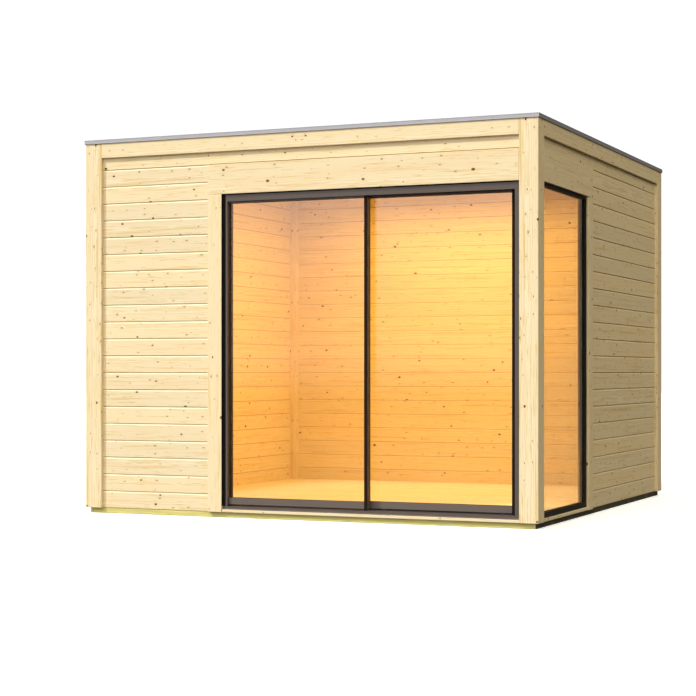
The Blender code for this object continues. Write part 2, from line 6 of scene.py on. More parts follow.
import bmesh
import bpy
from bpy.props import FloatProperty, FloatVectorProperty, IntProperty, PointerProperty
from mathutils import Euler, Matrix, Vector


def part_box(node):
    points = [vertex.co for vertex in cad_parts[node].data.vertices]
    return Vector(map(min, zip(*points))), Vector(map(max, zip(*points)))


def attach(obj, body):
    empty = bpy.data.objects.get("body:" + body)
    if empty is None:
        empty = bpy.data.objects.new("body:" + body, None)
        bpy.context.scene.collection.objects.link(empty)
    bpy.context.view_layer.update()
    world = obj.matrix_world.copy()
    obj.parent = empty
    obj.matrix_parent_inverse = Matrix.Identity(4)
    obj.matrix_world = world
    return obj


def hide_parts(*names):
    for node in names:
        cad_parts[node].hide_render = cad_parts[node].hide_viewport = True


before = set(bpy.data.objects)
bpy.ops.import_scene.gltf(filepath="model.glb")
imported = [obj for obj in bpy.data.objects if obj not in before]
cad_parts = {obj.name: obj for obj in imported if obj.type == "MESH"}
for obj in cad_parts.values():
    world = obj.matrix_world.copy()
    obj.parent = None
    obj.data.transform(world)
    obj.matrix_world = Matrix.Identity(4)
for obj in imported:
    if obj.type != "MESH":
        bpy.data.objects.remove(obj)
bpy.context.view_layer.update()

bl_info = {
    "name": "Garden room finishes",
    "version": (1, 0, 0),
    "blender": (4, 5, 0),
    "location": "3D View > Sidebar > Garden Room",
    "description": "Boards, glazing, seals, roof edge and studio of the garden room",
    "category": "Object",
}

ROOT = "root"
LEAVES = ("left_leaf", "right_leaf")
SIDES = ("front", "back", "left", "right")
WALLS = ("front_wall", "front_wall_top", "left_wall", "back_wall", "right_wall", "right_wall_top")

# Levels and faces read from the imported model
WALL_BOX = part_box("front_wall")
LINTEL_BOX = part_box("door_lintel")
FLOOR_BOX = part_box("floor")
DECK_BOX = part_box("roof_deck")
SHEET_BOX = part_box("roof_membrane")
TRIM_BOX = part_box("roof_trim_front")
TRIM_FLANGE = TRIM_BOX[1].y - TRIM_BOX[0].y
TRIM_HEIGHT = TRIM_BOX[1].z - TRIM_BOX[0].z
POST_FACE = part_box("post_back_right")[1].x
WALL_ROWS_BELOW_LINTEL_TOP = 20
ROW_PITCH = (LINTEL_BOX[1].z - WALL_BOX[0].z) / WALL_ROWS_BELOW_LINTEL_TOP

# What counts as the same place in metres, the same row in rows, and the thinnest row that is laid
SAME_PLACE = 1e-6
SAME_ROW = 1e-4
THINNEST_ROW = 0.001

# Small gaps and bevels, in metres
GLUE_GAP = 0.0001
BUTT_GAP = 0.0002
REST_GAP = 0.0003
EDGE_GAP = 0.0005
SMALL_BEVEL = 0.0012
STRIP_SHORT = 0.002
CATCH_GAP = 0.0006

# Cuts: seat gaps that a wall leaves above a rafter, and how far the floor's tools reach past it
RAFTER_PLAYS_ABOVE = 4
PAST_ROOM = 2.0
PAST_FLOOR_TOP = 0.2
BELOW_FLOOR = 0.01

# Gasket and threshold: a gasket's sloping lip and back, and the upright part of the threshold's nose
GASKET_LIP_IN = 0.0002
GASKET_LIP_UP = 0.0004
GASKET_SLOPE = 0.0005
NOSE_SHARE = 0.4

# A board's section in shares of its thickness
TONGUE_FROM = 0.36
TONGUE_TO = 0.66
FRONT_PART = 0.3
BACK_PART = 0.6
FLAT_BACK = 0.02

# Where a board's grain lies in its log, and how far boards stand out unevenly
GRAIN_RUN = 40.0
HEART_UP = (-0.3, 1.3)
HEART_DEEP = (-1.6, -0.7, 1.7, 2.6, 3.4)
UNEVEN = 0.0006
FOOT_SHADE = 0.45
GRAIN_ORDER = {"X": (0, 2, 1), "Y": (1, 2, 0), "Z": (2, 0, 1)}

# Roof sheet: its grid, its waves and the slopes beside a lap
SHEET_COLUMNS = 64
SHEET_SEED = 19
SHEET_WAVES = 5
SHEET_LINE_STEP = 0.08
LAP_EDGE = 0.001
LAP_SLOPE = 0.03
LAP_CLEAR = 0.04

# Roof trim and its screws
BEAD_DEPTH = 0.0008
FLANGE_DROP = 0.0014
SCREW_END = 0.08
SCREW_PLACE = 0.62
SCREW_LIFT = 0.00005
SCREW_STEPS = 16
SCREW_DOME = ((1.0, 0.0), (0.94, 0.45), (0.70, 0.80), (0.35, 0.97))

# Growth rings and knots: ring widths, how far the heart wanders, and how far rings swerve round a knot
RING_SPACING = 0.0035
TREATED_RING_SPACING = 0.005
HEART_WANDER = 0.05
HEART_WOBBLE = 0.006
RING_SWERVE = 0.006
PIN_SWERVE = 0.4
BRANCH_KNOTS = {"cell": (0.34, 0.105), "aspect": 1.5, "radius": (0.0048, 0.0088)}
PIN_KNOTS = {"cell": (0.12, 0.046), "aspect": 2.0, "radius": (0.0018, 0.0048), "shift": 3.7}
PIN_SHARE = 0.40

# How much each feature of the grain tints the wood
LATE_TINT = 0.42
HALO_TINT = 0.34
PIN_HALO_TINT = 0.16
PIN_TINT = 0.62
TONE_LIGHT = 0.035
TONE_SATURATION = 0.04
FIBRE_LIGHT = 0.10

# Dust and speckle, and the blur of the line where painted shade starts on the window jamb
TIMBER_DUST = (0.45, 0.42, 0.33)
TIMBER_DUST_SHARE = 0.35
TIMBER_SPLASH = 0.012
METAL_DUST = (0.50, 0.46, 0.38)
METAL_SPLASH = 0.07
SPECKLE_DARKER = 0.86
SHADE_LINE_BLUR = 0.001

# Bumps: strength, and the height in metres that a value of one stands for
WOOD_BUMP = (0.35, 0.0006)
METAL_BUMP = (0.15, 0.0003)
GLASS_BUMP = (0.02, 0.0004)

# Glass: tint of the light that goes through, and refraction
LIGHT_THROUGH_GLASS = (0.965, 0.90, 0.70)
DOOR_GLASS_IOR = 1.42
WINDOW_GLASS_IOR = 1.18

# Hearts of the timbers that lie low: sills and base beams
SILL_HEART = (0.3, -1.40, 0.14)
WINDOW_SILL_HEART = (1.60, 0.1, 0.14)
BASE_HEART = (0.2, 1.40, 0.06)
SIDE_BASE_HEART = (1.40, 0.2, 0.06)

# Fill lights: direction, spread in degrees and colour
FILLS = {
    "front_fill": ((-0.10, -0.88, 0.46), 90, (1.0, 0.945, 0.865)),
    "side_fill": ((0.74, -0.25, 0.62), 60, (1.0, 0.86, 0.54)),
    "back_fill": ((-0.35, 0.85, 0.38), 90, (1.0, 0.98, 0.95)),
    "top_fill": ((0.0, 0.0, 1.0), 12, (1.0, 1.0, 1.0)),
}
KEY_COLOUR = (1.0, 0.98, 0.95)

# Lamps under the roof: side length, spread in degrees and colour
ROOM_LAMPS = {
    "room_light": (1.9, 180, (1.0, 0.56, 0.08)),
    "floor_light": (2.5, 24, (0.8, 1.0, 1.0)),
}
LAMP_PLACE = (0.14, 0.12, 2.24)

# Studio: where the mirrored light comes from, its backdrop and floor, and the camera
MIRRORED_FROM = (-0.35, -0.94, 0.0)
WHITE = (1.0, 1.0, 1.0)
BACKDROP = 1.05
STUDIO_REACH = 60.0
FLOOR_CLOUD = 0.985
SENSOR_WIDTH = 36.0
FAR_CLIP = 200.0


def length(label, description, default):
    """A size in metres for a property group."""
    return FloatProperty(name=label, description=description, default=default, unit="LENGTH", precision=4)


def angle(label, description, default):
    """An angle for a property group."""
    return FloatProperty(name=label, description=description, default=default, unit="ROTATION")


def point(label, description, default, **options):
    """A place or a direction for a property group."""
    return FloatVectorProperty(name=label, description=description, default=default, **options)


def colour(label, description, default):
    """A colour for a property group."""
    return FloatVectorProperty(
        name=label, description=description, default=default, subtype="COLOR", size=3, min=0.0, max=1.0
    )


def share(label, description, default):
    """A share between nothing and all for a property group."""
    return FloatProperty(
        name=label, description=description, default=default, min=0.0, max=1.0, subtype="FACTOR"
    )


def amount(label, description, default):
    """A plain number for a property group."""
    return FloatProperty(name=label, description=description, default=default)


class BoardSizes(bpy.types.PropertyGroup):
    """Sizes of the boards of walls, floor and roof."""

    wall_pitch: length("Wall pitch", "Height that one wall board covers", ROW_PITCH)
    wall_lower_chamfer: length("Wall lower chamfer", "Chamfer on a wall board's lower edges", 0.0034)
    wall_upper_chamfer: length("Wall upper chamfer", "Depth of a wall board's upper chamfers", 0.0042)
    wall_upper_slope: length("Wall upper slope", "Height of a wall board's upper chamfers", 0.0085)
    inner_share: share("Inner share", "Size of the chamfers on the inner faces against the outer ones", 0.55)
    joint_gap: length("Joint gap", "Gap between two neighbouring boards", 0.0014)
    tongue_width: length("Tongue width", "Thickness of a wall board's tongue", 0.012)
    tongue_height: length("Tongue height", "How far a tongue reaches into the next board", 0.008)
    groove_play: length("Groove play", "Room round a tongue in its groove", 0.0005)
    floor_pitch: length("Floor pitch", "Width that one floor board covers", 0.1088)
    floor_chamfer: length("Floor chamfer", "Chamfer on a floor board's upper edges", 0.0010)
    roof_pitch: length("Roof pitch", "Width that one roof board covers", 0.1137)
    roof_chamfer: length("Roof chamfer", "Chamfer on a roof board's visible edges", 0.0030)
    seat_gap: length("Seat gap", "Gap kept between a board's end and what it meets", 0.0003)
    lintel_chamfer: length("Lintel chamfer", "Lower outer chamfer of the board row over a lintel", 0.0065)
    seed: IntProperty(name="Seed", description="Picks the boards' tones and grain", default=7)


class GlazingSizes(bpy.types.PropertyGroup):
    """Sizes of the panes, their seals, the door frame's lips and the threshold."""

    pane_thickness: length("Pane thickness", "Thickness of each sheet of a double pane", 0.0040)
    spacer_reach: length("Spacer reach", "Height of the spacer bar from the pane's edge", 0.0088)
    window_spacer_reach: length("Window spacer reach", "Height of the side window's spacer bar", 0.0076)
    spacer_seal: length("Spacer seal", "Height of the black seal outside the spacer bar", 0.0034)
    gasket_width: length("Gasket width", "How far a gasket covers the pane", 0.0016)
    gasket_height: length("Gasket height", "How far a gasket stands off the pane", 0.0012)
    gasket_play: length("Gasket play", "Gap between a gasket and what it touches", 0.0002)
    bite: length("Bite", "How far a pane reaches into its frame", 0.0080)
    frame_front_lip: length("Front lip", "Thickness of the door frame's front lip", 0.0120)
    frame_back_lip: length("Back lip", "Thickness of the door frame's back lip", 0.0080)
    frame_side_face: length("Side face", "Width of the door frame's front lip at its sides", 0.0340)
    frame_rear_face: length("Rear face", "Width of the door frame's back lip at its sides", 0.0140)
    frame_head_face: length("Head face", "Height of the door frame's lips at its head", 0.0460)
    frame_sill_face: length("Sill face", "Height of the door frame's lips at its sill", 0.0190)
    edge_seal_cover: length("Edge seal cover", "How far the black edge seal covers a frame's face", 0.0050)
    edge_seal_left: length("Edge seal left", "How far the edge seal covers the frame's left side", 0.0215)
    lip_line: length("Lip line", "Width of the black line on the right lip's inner edge", 0.0045)
    edge_seal_sheet: length("Edge seal sheet", "Thickness of the black edge seal", 0.0010)
    edge_setback: length("Edge setback", "How far the edge seal stays behind the timber's face", 0.0034)
    cover_sheet: length("Cover sheet", "Thickness of the strip on the meeting stile", 0.0005)
    # Painted shade: a dark strip on the right leaf's outer stile, which lies in shadow
    catch_shade_strip_width: length("Catch cover width", "Width of the right leaf's outer strip", 0.0280)
    threshold_sheet: length("Threshold sheet", "Thickness of the door's threshold", 0.0020)
    threshold_rise: length("Threshold rise", "How far the threshold slopes up to the frame", 0.0030)
    sill_brush_height: length("Sill brush height", "Height of the brush on the sill's back lip", 0.0190)
    cover_width: length("Cover width", "Width of the strip on the meeting stile", 0.0212)
    brush_width: length("Brush width", "Width of a brush seal's pile", 0.0060)
    brush_gap: length("Brush gap", "Gap between a brush seal and the leaf that passes it", 0.0012)


class RoofSizes(bpy.types.PropertyGroup):
    """Sizes of the roof sheet and the trim round its edge."""

    strip_width: length("Strip width", "Width that one strip of the roof sheet covers", 0.98)
    lap_width: length("Lap width", "How far two strips of the roof sheet lap", 0.08)
    lap_rise: length("Lap rise", "Step at the edge of a lap", 0.0011)
    wave_height: length("Wave height", "Height of the soft waves in the roof sheet", 0.0004)
    trim_sheet: length("Trim sheet", "Thickness of the trim's metal", 0.0015)
    screw_pitch: length("Screw pitch", "Distance between the screws in the trim", 0.38)
    screw_radius: length("Screw radius", "Radius of a screw's head", 0.0045)
    screw_height: length("Screw height", "Height of a screw's head", 0.0012)


class TimberColours(bpy.types.PropertyGroup):
    """Colours of the spruce and of the treated timber."""

    pale: colour("Pale wood", "Wood between two growth rings", (0.87, 0.755, 0.520))
    ring: colour("Growth ring", "Darker late wood of a growth ring", (0.72, 0.52, 0.20))
    streak: colour("Streak", "Slow streaks of warmer wood", (0.86, 0.63, 0.36))
    knot: colour("Knot", "Middle of a knot", (0.062, 0.022, 0.003))
    # Painted highlight: a pale colour mixed onto the boards' upper chamfers where the light catches them
    edge: colour("Edge", "Freshly planed bevel on a board's upper edge", (0.98, 0.90, 0.66))
    joint: colour("Joint", "Shaded wood down in a board joint", (0.42, 0.25, 0.09))
    treated_pale: colour("Treated pale", "Pale part of the pressure-treated timber", (0.77, 0.70, 0.235))
    # Painted shade: the shaded colour and ring are dark copies of the treated timber, for the base's sides
    # and ends, which stand in shade, and the joists
    treated_shaded: colour("Treated shaded", "Treated timber of the sides and joists", (0.050, 0.047, 0.023))
    treated_ring: colour("Treated ring", "Growth rings of the pressure-treated timber", (0.50, 0.45, 0.16))
    shaded_ring: colour("Shaded ring", "Growth rings of the sides and joists", (0.036, 0.033, 0.015))


class MetalColours(bpy.types.PropertyGroup):
    """Colours of metal, rubber, glass and roof sheet."""

    coat: colour("Powder coat", "Coating of the door's profiles", (0.104, 0.083, 0.070))
    leaf_coat: colour("Leaf coat", "Coating of the two sliding leaves", (0.140, 0.113, 0.096))
    # Painted shade: a darker copy of the powder coat, as the window's frame stands in shade
    window_coat: colour("Window coat", "Coating of the side window's frame", (0.022, 0.021, 0.018))
    # Also the colour of the dark strip that paints shade on the right leaf's outer stile
    cover: colour("Stile cover", "Strip on the meeting stile", (0.020, 0.011, 0.008))
    rubber: colour("Rubber", "Gaskets and brushes", (0.010, 0.009, 0.009))
    spacer: colour("Spacer", "Spacer bar between two panes", (0.018, 0.016, 0.014))
    # Painted light: a lighter copy of the powder coat, standing in for the threshold's lit top
    threshold: colour("Threshold", "Coating of the door's threshold", (0.170, 0.145, 0.125))
    glass: colour("Glass", "Tint of the panes", (0.985, 0.992, 0.985))
    trim: colour("Roof trim", "Metal round the roof's edge", (0.56, 0.555, 0.565))
    sheet: colour("Roof sheet", "Dark sheet on the roof", (0.040, 0.041, 0.044))
    screw: colour("Screw", "Heads of the trim's screws", (0.55, 0.55, 0.56))


class StageSettings(bpy.types.PropertyGroup):
    """Camera, lights and floor."""

    eye: point("Eye", "Where the camera stands", (4.491, -11.0534, 0.9186), unit="LENGTH")
    yaw: angle("Yaw", "Turn of the camera to the left", 0.41207)
    lens: amount("Lens", "Focal length in millimetres", 88.475)
    rise: amount("Rise", "Upward shift of the picture", 0.0337)
    sun_strength: amount("Sun strength", "Strength of the key light", 2.66)
    sun_towards: point("Sun direction", "Direction from the room to the key light", (-0.57, -0.46, 0.68))
    sun_size: angle("Sun size", "Spread of the key light", math.radians(1.6))
    front_fill: amount("Front fill", "Strength of the soft light from the front", 2.06)
    side_fill: amount("Side fill", "Strength of the soft light from the window's side", 1.08)
    back_fill: amount("Back fill", "Strength of the soft light from behind", 0.8)
    top_fill: amount("Top fill", "Strength of the soft light from straight above", 0.5)
    room_light: amount("Room light", "Power of the warm light inside", 58.0)
    mirrored_front: amount("Mirrored front", "Brightness that the glass mirrors from the front", 1.55)
    mirrored_rear: amount("Mirrored rear", "Brightness that the side window mirrors from behind", 0.14)
    floor_glow: amount("Floor glow", "Own light of the studio floor", 0.50)
    floor_light: amount("Floor light", "Power of the pale light on the floor inside", 6.0)
    sky: amount("Sky", "Strength of the world's own light", 0.12)
    floor: colour("Floor", "Pale studio floor", (0.86, 0.86, 0.855))


class Nodes:
    """Short words for building one node tree."""

    def __init__(self, tree):
        self.tree = tree

    def add(self, kind, **settings):
        """Adds a node and sets its options."""
        node = self.tree.nodes.new(kind)
        for key, value in settings.items():
            setattr(node, key, value)
        return node

    def put(self, socket, value):
        """Feeds a socket from another, or sets its plain value."""
        if isinstance(value, bpy.types.NodeSocket):
            self.tree.links.new(value, socket)
        elif hasattr(value, "__len__") and len(value) == 3 and socket.type == "RGBA":
            socket.default_value = (*value, 1.0)
        else:
            socket.default_value = value

    def feed(self, node, **values):
        """Feeds a node's inputs by name; an underscore stands for a space."""
        for key, value in values.items():
            self.put(node.inputs[key.replace("_", " ")], value)
        return node

    def fill(self, kind, values, **settings):
        """Adds a node, feeds its inputs in order and gives its outputs."""
        node = self.add(kind, **settings)
        for socket, value in zip(node.inputs, values):
            self.put(socket, value)
        return node.outputs

    def math(self, operation, *values, clamp=False):
        """One Math node."""
        return self.fill("ShaderNodeMath", values, operation=operation, use_clamp=clamp)[0]

    def times(self, first, second):
        """One value times another."""
        return self.math("MULTIPLY", first, second)

    def plus(self, first, second):
        """One value and another."""
        return self.math("ADD", first, second)

    def vector(self, operation, *values):
        """One Vector Math node that gives a vector."""
        return self.fill("ShaderNodeVectorMath", values, operation=operation)[0]

    def measure(self, operation, *values):
        """One Vector Math node that gives a number."""
        return self.fill("ShaderNodeVectorMath", values, operation=operation)["Value"]

    def split(self, vector):
        """The three parts of a vector."""
        return self.fill("ShaderNodeSeparateXYZ", [vector])

    def join(self, *parts):
        """A vector from its three parts."""
        return self.fill("ShaderNodeCombineXYZ", parts)[0]

    def place(self):
        """The place in the room's own frame."""
        return self.add("ShaderNodeTexCoord").outputs["Object"]

    def facing(self):
        """The three parts of the direction in which a face looks."""
        return self.split(self.add("ShaderNodeNewGeometry").outputs["Normal"])

    def carried(self, name):
        """A vector that the mesh carries at its corners."""
        return self.add("ShaderNodeAttribute", attribute_name=name).outputs["Vector"]

    def group(self, tree, **values):
        """Places a node group, feeds it and gives its outputs."""
        return self.feed(self.add("ShaderNodeGroup", node_tree=tree), **values).outputs

    def either(self, factor, first, second):
        """One shader or another."""
        return self.fill("ShaderNodeMixShader", (factor, first, second))[0]

    def mix(self, factor, first, second):
        """One colour between two."""
        node = self.add("ShaderNodeMix", data_type="RGBA")
        self.put(node.inputs[0], factor)
        self.put(node.inputs[6], first)
        self.put(node.inputs[7], second)
        return node.outputs[2]

    def ramp(self, value, low, high, start=0.0, end=1.0):
        """A soft step from one value to another."""
        node = self.add("ShaderNodeMapRange", interpolation_type="SMOOTHSTEP")
        self.feed(node, Value=value, From_Min=low, From_Max=high, To_Min=start, To_Max=end)
        return node.outputs["Result"]

    def noise(self, vector, stretch, detail=2.0, roughness=0.5):
        """Noise in stretched space, as a value round one half."""
        scaled = self.vector("MULTIPLY", vector, stretch)
        node = self.add("ShaderNodeTexNoise", noise_dimensions="3D")
        self.feed(node, Vector=scaled, Scale=1.0, Detail=detail, Roughness=roughness)
        return node.outputs["Fac"]

    def bump(self, height, strength, distance):
        """A bumped normal from a height in metres over the given distance."""
        node = self.add("ShaderNodeBump")
        self.feed(node, Strength=strength, Distance=distance, Height=height)
        return node.outputs["Normal"]


def new_group(name, inputs, outputs):
    """Starts a shader node group with named inputs and outputs."""
    tree = bpy.data.node_groups.new(name, "ShaderNodeTree")
    for kind, label, default in inputs:
        socket = tree.interface.new_socket(name=label, in_out="INPUT", socket_type=kind)
        if default is not None:
            socket.default_value = (*default, 1.0) if kind == "NodeSocketColor" else default
    for kind, label in outputs:
        tree.interface.new_socket(name=label, in_out="OUTPUT", socket_type=kind)
    nodes = Nodes(tree)
    return nodes, nodes.add("NodeGroupInput").outputs, nodes.add("NodeGroupOutput").inputs


def knots(nodes, along, across, cell, aspect, radius, share_of_cells, shift=0.0):
    """Knots scattered one to a cell: their mask, the halo round them, and how dark each is."""
    place = nodes.join(
        nodes.math("DIVIDE", nodes.plus(along, shift), cell[0]),
        nodes.math("DIVIDE", nodes.plus(across, shift), cell[1]),
    )
    cells = nodes.add("ShaderNodeTexVoronoi", voronoi_dimensions="2D")
    nodes.feed(cells, Vector=place, Scale=1.0, Randomness=0.9)
    offset = nodes.vector("SUBTRACT", place, cells.outputs["Position"])
    reach = nodes.measure("LENGTH", nodes.vector("MULTIPLY", offset, (cell[0] / aspect, cell[1], 0.0)))
    chance = nodes.fill("ShaderNodeSeparateColor", [cells.outputs["Color"]])
    exists = nodes.math("LESS_THAN", chance[0], share_of_cells)
    size = nodes.math("MULTIPLY_ADD", nodes.math("POWER", chance[1], 1.6), radius[1] - radius[0], radius[0])
    relative = nodes.math("DIVIDE", reach, size)
    core = nodes.times(nodes.ramp(relative, 0.75, 1.15, 1.0, 0.0), exists)
    halo = nodes.times(nodes.ramp(relative, 0.9, 4.5, 1.0, 0.0), exists)
    return core, halo, nodes.math("MULTIPLY_ADD", chance[2], 0.12, 0.88)


def timber_grain():
    """Growth rings, streaks and knots of sawn softwood, in a space whose X runs along the fibres."""
    known = bpy.data.node_groups.get("Timber Grain")
    if known:
        return known
    nodes, given, out = new_group(
        "Timber Grain",
        [
            ("NodeSocketVector", "Grain Space", None),
            ("NodeSocketFloat", "Tone", 0.0),
            ("NodeSocketFloat", "Ring Spacing", RING_SPACING),
            ("NodeSocketFloat", "Knot Share", 0.3),
            ("NodeSocketFloat", "Streaks", 1.0),
            ("NodeSocketColor", "Pale", (0.8, 0.6, 0.4)),
            ("NodeSocketColor", "Ring", (0.6, 0.4, 0.2)),
            ("NodeSocketColor", "Streak", (0.8, 0.5, 0.3)),
            ("NodeSocketColor", "Knot", (0.1, 0.05, 0.02)),
        ],
        [("NodeSocketColor", "Color"), ("NodeSocketFloat", "Roughness"), ("NodeSocketFloat", "Height")],
    )
    space = given["Grain Space"]
    along, across, deep = nodes.split(space)
    face = nodes.plus(across, deep)

    # Knots up to a thumb's width, and many small pin knots between them
    knot, halo, depth = knots(nodes, along, face, share_of_cells=given["Knot Share"], **BRANCH_KNOTS)
    pin, pin_halo, pin_depth = knots(nodes, along, face, share_of_cells=PIN_SHARE, **PIN_KNOTS)

    # Rings round the heart, which wanders slowly along the timber and swerves round a knot
    wander = nodes.noise(space, (0.55, 3.0, 3.0), detail=1.0)
    wobble = nodes.noise(space, (4.0, 20.0, 20.0), detail=2.0)
    drift = nodes.plus(across, nodes.times(wander, HEART_WANDER))
    sway = nodes.plus(deep, nodes.times(wobble, HEART_WOBBLE))
    radius = nodes.measure("LENGTH", nodes.join(0.0, drift, sway))
    swerve = nodes.times(nodes.plus(halo, nodes.times(pin_halo, PIN_SWERVE)), RING_SWERVE)
    turn = nodes.plus(radius, swerve)
    year = nodes.math("FRACT", nodes.math("DIVIDE", turn, given["Ring Spacing"]))
    late = nodes.times(nodes.ramp(year, 0.25, 0.86), nodes.ramp(year, 0.90, 1.0, 1.0, 0.0))

    # Streaks that run for a hand's breadth to a metre, and the tone of the whole board
    long_streak = nodes.noise(space, (1.3, 52.0, 52.0), detail=3.0, roughness=0.62)
    short_streak = nodes.noise(space, (7.0, 150.0, 150.0), detail=2.0, roughness=0.6)
    patch = nodes.noise(space, (0.9, 9.0, 9.0), detail=1.0)
    fibre = nodes.noise(space, (38.0, 1100.0, 1100.0), detail=2.0, roughness=0.65)

    body = nodes.mix(nodes.times(late, LATE_TINT), given["Pale"], given["Ring"])
    long_share = nodes.times(nodes.ramp(long_streak, 0.54, 0.72, 0.0, 0.75), given["Streaks"])
    body = nodes.mix(nodes.math("MINIMUM", long_share, 1.0), body, given["Ring"])
    body = nodes.mix(nodes.ramp(patch, 0.52, 0.78, 0.0, 0.30), body, given["Streak"])
    short_share = nodes.times(nodes.ramp(short_streak, 0.585, 0.70, 0.0, 0.80), given["Streaks"])
    body = nodes.mix(nodes.math("MINIMUM", short_share, 1.0), body, given["Ring"])
    body = nodes.mix(nodes.times(halo, HALO_TINT), body, given["Streak"])
    body = nodes.mix(nodes.times(pin_halo, PIN_HALO_TINT), body, given["Ring"])
    body = nodes.mix(nodes.times(pin, nodes.times(pin_depth, PIN_TINT)), body, given["Knot"])
    body = nodes.mix(nodes.times(knot, depth), body, given["Knot"])
    light = nodes.plus(nodes.times(given["Tone"], TONE_LIGHT), 1.0)
    light = nodes.plus(light, nodes.times(nodes.math("SUBTRACT", fibre, 0.5), FIBRE_LIGHT))
    toned = nodes.add("ShaderNodeHueSaturation")
    saturation = nodes.math("MULTIPLY_ADD", given["Tone"], TONE_SATURATION, 1.0)
    nodes.feed(toned, Color=body, Value=light, Saturation=saturation)
    nodes.put(out["Color"], toned.outputs[0])

    rough = nodes.math("MULTIPLY_ADD", late, -0.08, 0.62)
    rough = nodes.math("MULTIPLY_ADD", fibre, 0.16, rough)
    nodes.put(out["Roughness"], nodes.math("MULTIPLY_ADD", knot, -0.15, rough, clamp=True))
    height = nodes.math("MULTIPLY_ADD", late, 0.35, nodes.times(fibre, 0.55))
    height = nodes.math("MULTIPLY_ADD", short_streak, 0.25, height)
    nodes.put(out["Height"], nodes.math("MULTIPLY_ADD", knot, 0.5, height))
    return nodes.tree


def fine_speckle():
    """Fine orange-peel speckle of a coating or of moulded rubber."""
    known = bpy.data.node_groups.get("Fine Speckle")
    if known:
        return known
    nodes, given, out = new_group(
        "Fine Speckle",
        [("NodeSocketVector", "Place", None), ("NodeSocketFloat", "Grains Per Metre", 900.0)],
        [("NodeSocketFloat", "Mask"), ("NodeSocketFloat", "Height")],
    )
    grain = nodes.add("ShaderNodeTexNoise", noise_dimensions="3D")
    nodes.feed(grain, Vector=given["Place"], Scale=given["Grains Per Metre"], Detail=2.0, Roughness=0.6)
    slow = nodes.noise(given["Place"], (7.0, 7.0, 7.0), detail=3.0)
    nodes.put(out["Height"], grain.outputs["Fac"])
    both = nodes.times(nodes.ramp(grain.outputs["Fac"], 0.35, 0.7), 0.5)
    nodes.put(out["Mask"], nodes.math("MULTIPLY_ADD", slow, 0.5, both, clamp=True))
    return nodes.tree


def settled_dust():
    """Thin dust that lies on faces that look up, and splashes low on the upright ones."""
    known = bpy.data.node_groups.get("Settled Dust")
    if known:
        return known
    nodes, given, out = new_group(
        "Settled Dust",
        [("NodeSocketVector", "Place", None), ("NodeSocketFloat", "Splash Height", 0.05)],
        [("NodeSocketFloat", "Mask")],
    )
    cloud = nodes.noise(given["Place"], (9.0, 9.0, 9.0), detail=4.0, roughness=0.6)
    up = nodes.times(nodes.ramp(nodes.facing()[2], 0.3, 0.95), nodes.ramp(cloud, 0.30, 0.75))
    above_splash = nodes.math("SUBTRACT", nodes.split(given["Place"])[2], given["Splash Height"])
    splash = nodes.times(nodes.ramp(above_splash, -0.03, 0.03, 1.0, 0.0), nodes.ramp(cloud, 0.42, 0.80))
    nodes.put(out["Mask"], nodes.math("MAXIMUM", up, splash))
    return nodes.tree


def new_material(name):
    """Starts a material and gives its node words and its shader."""
    material = bpy.data.materials.new(name)
    material.use_nodes = True
    return material, Nodes(material.node_tree), material.node_tree.nodes["Principled BSDF"]


def grain_axes(nodes, axis, heart, mirrored):
    """Grain space of a plain timber: fibres along one axis, measured from its heart."""
    place = nodes.place()
    if mirrored:
        place = nodes.vector("ABSOLUTE", place)
    parts = nodes.split(nodes.vector("SUBTRACT", place, heart))
    return nodes.join(*(parts[number] for number in GRAIN_ORDER[axis]))


def finish_timber(
    nodes,
    shader,
    space,
    tone,
    pale=None,
    ring=None,
    treated=False,
    knot_share=0.38,
    spacing=RING_SPACING,
    shade=None,
    edge=None,
    streaks=1.0,
):
    """Feeds a timber's shader from the grain group, with painted shade in joints and on the treated timber's
    sides, painted highlights on upper chamfers, and dust.
    """
    colours = bpy.context.scene.timber_colours
    grain = nodes.group(
        timber_grain(),
        Grain_Space=space,
        Tone=tone,
        Ring_Spacing=spacing,
        Knot_Share=knot_share,
        Streaks=streaks,
        Pale=pale or (colours.treated_pale if treated else colours.pale),
        Ring=ring or (colours.treated_ring if treated else colours.ring),
        Streak=ring or (colours.treated_ring if treated else colours.streak),
        Knot=colours.knot,
    )
    body = grain["Color"]
    # Painted highlight on upper chamfers, then painted shade in joints and on chamfers that look down
    if edge is not None:
        body = nodes.mix(edge, body, colours.edge)
    if shade is not None:
        body = nodes.mix(shade, body, colours.joint)
    if treated:
        # Painted shade on faces that look along X: the base's ends and sides
        side_shade = nodes.ramp(nodes.math("ABSOLUTE", nodes.facing()[0]), 0.80, 0.95)
        body = nodes.mix(side_shade, body, colours.treated_shaded)
        dust = nodes.group(settled_dust(), Place=nodes.place(), Splash_Height=TIMBER_SPLASH)
        body = nodes.mix(nodes.times(dust["Mask"], TIMBER_DUST_SHARE), body, TIMBER_DUST)
    nodes.feed(
        shader,
        Base_Color=body,
        Roughness=grain["Roughness"],
        Normal=nodes.bump(grain["Height"], *WOOD_BUMP),
        Specular_IOR_Level=0.30,
    )


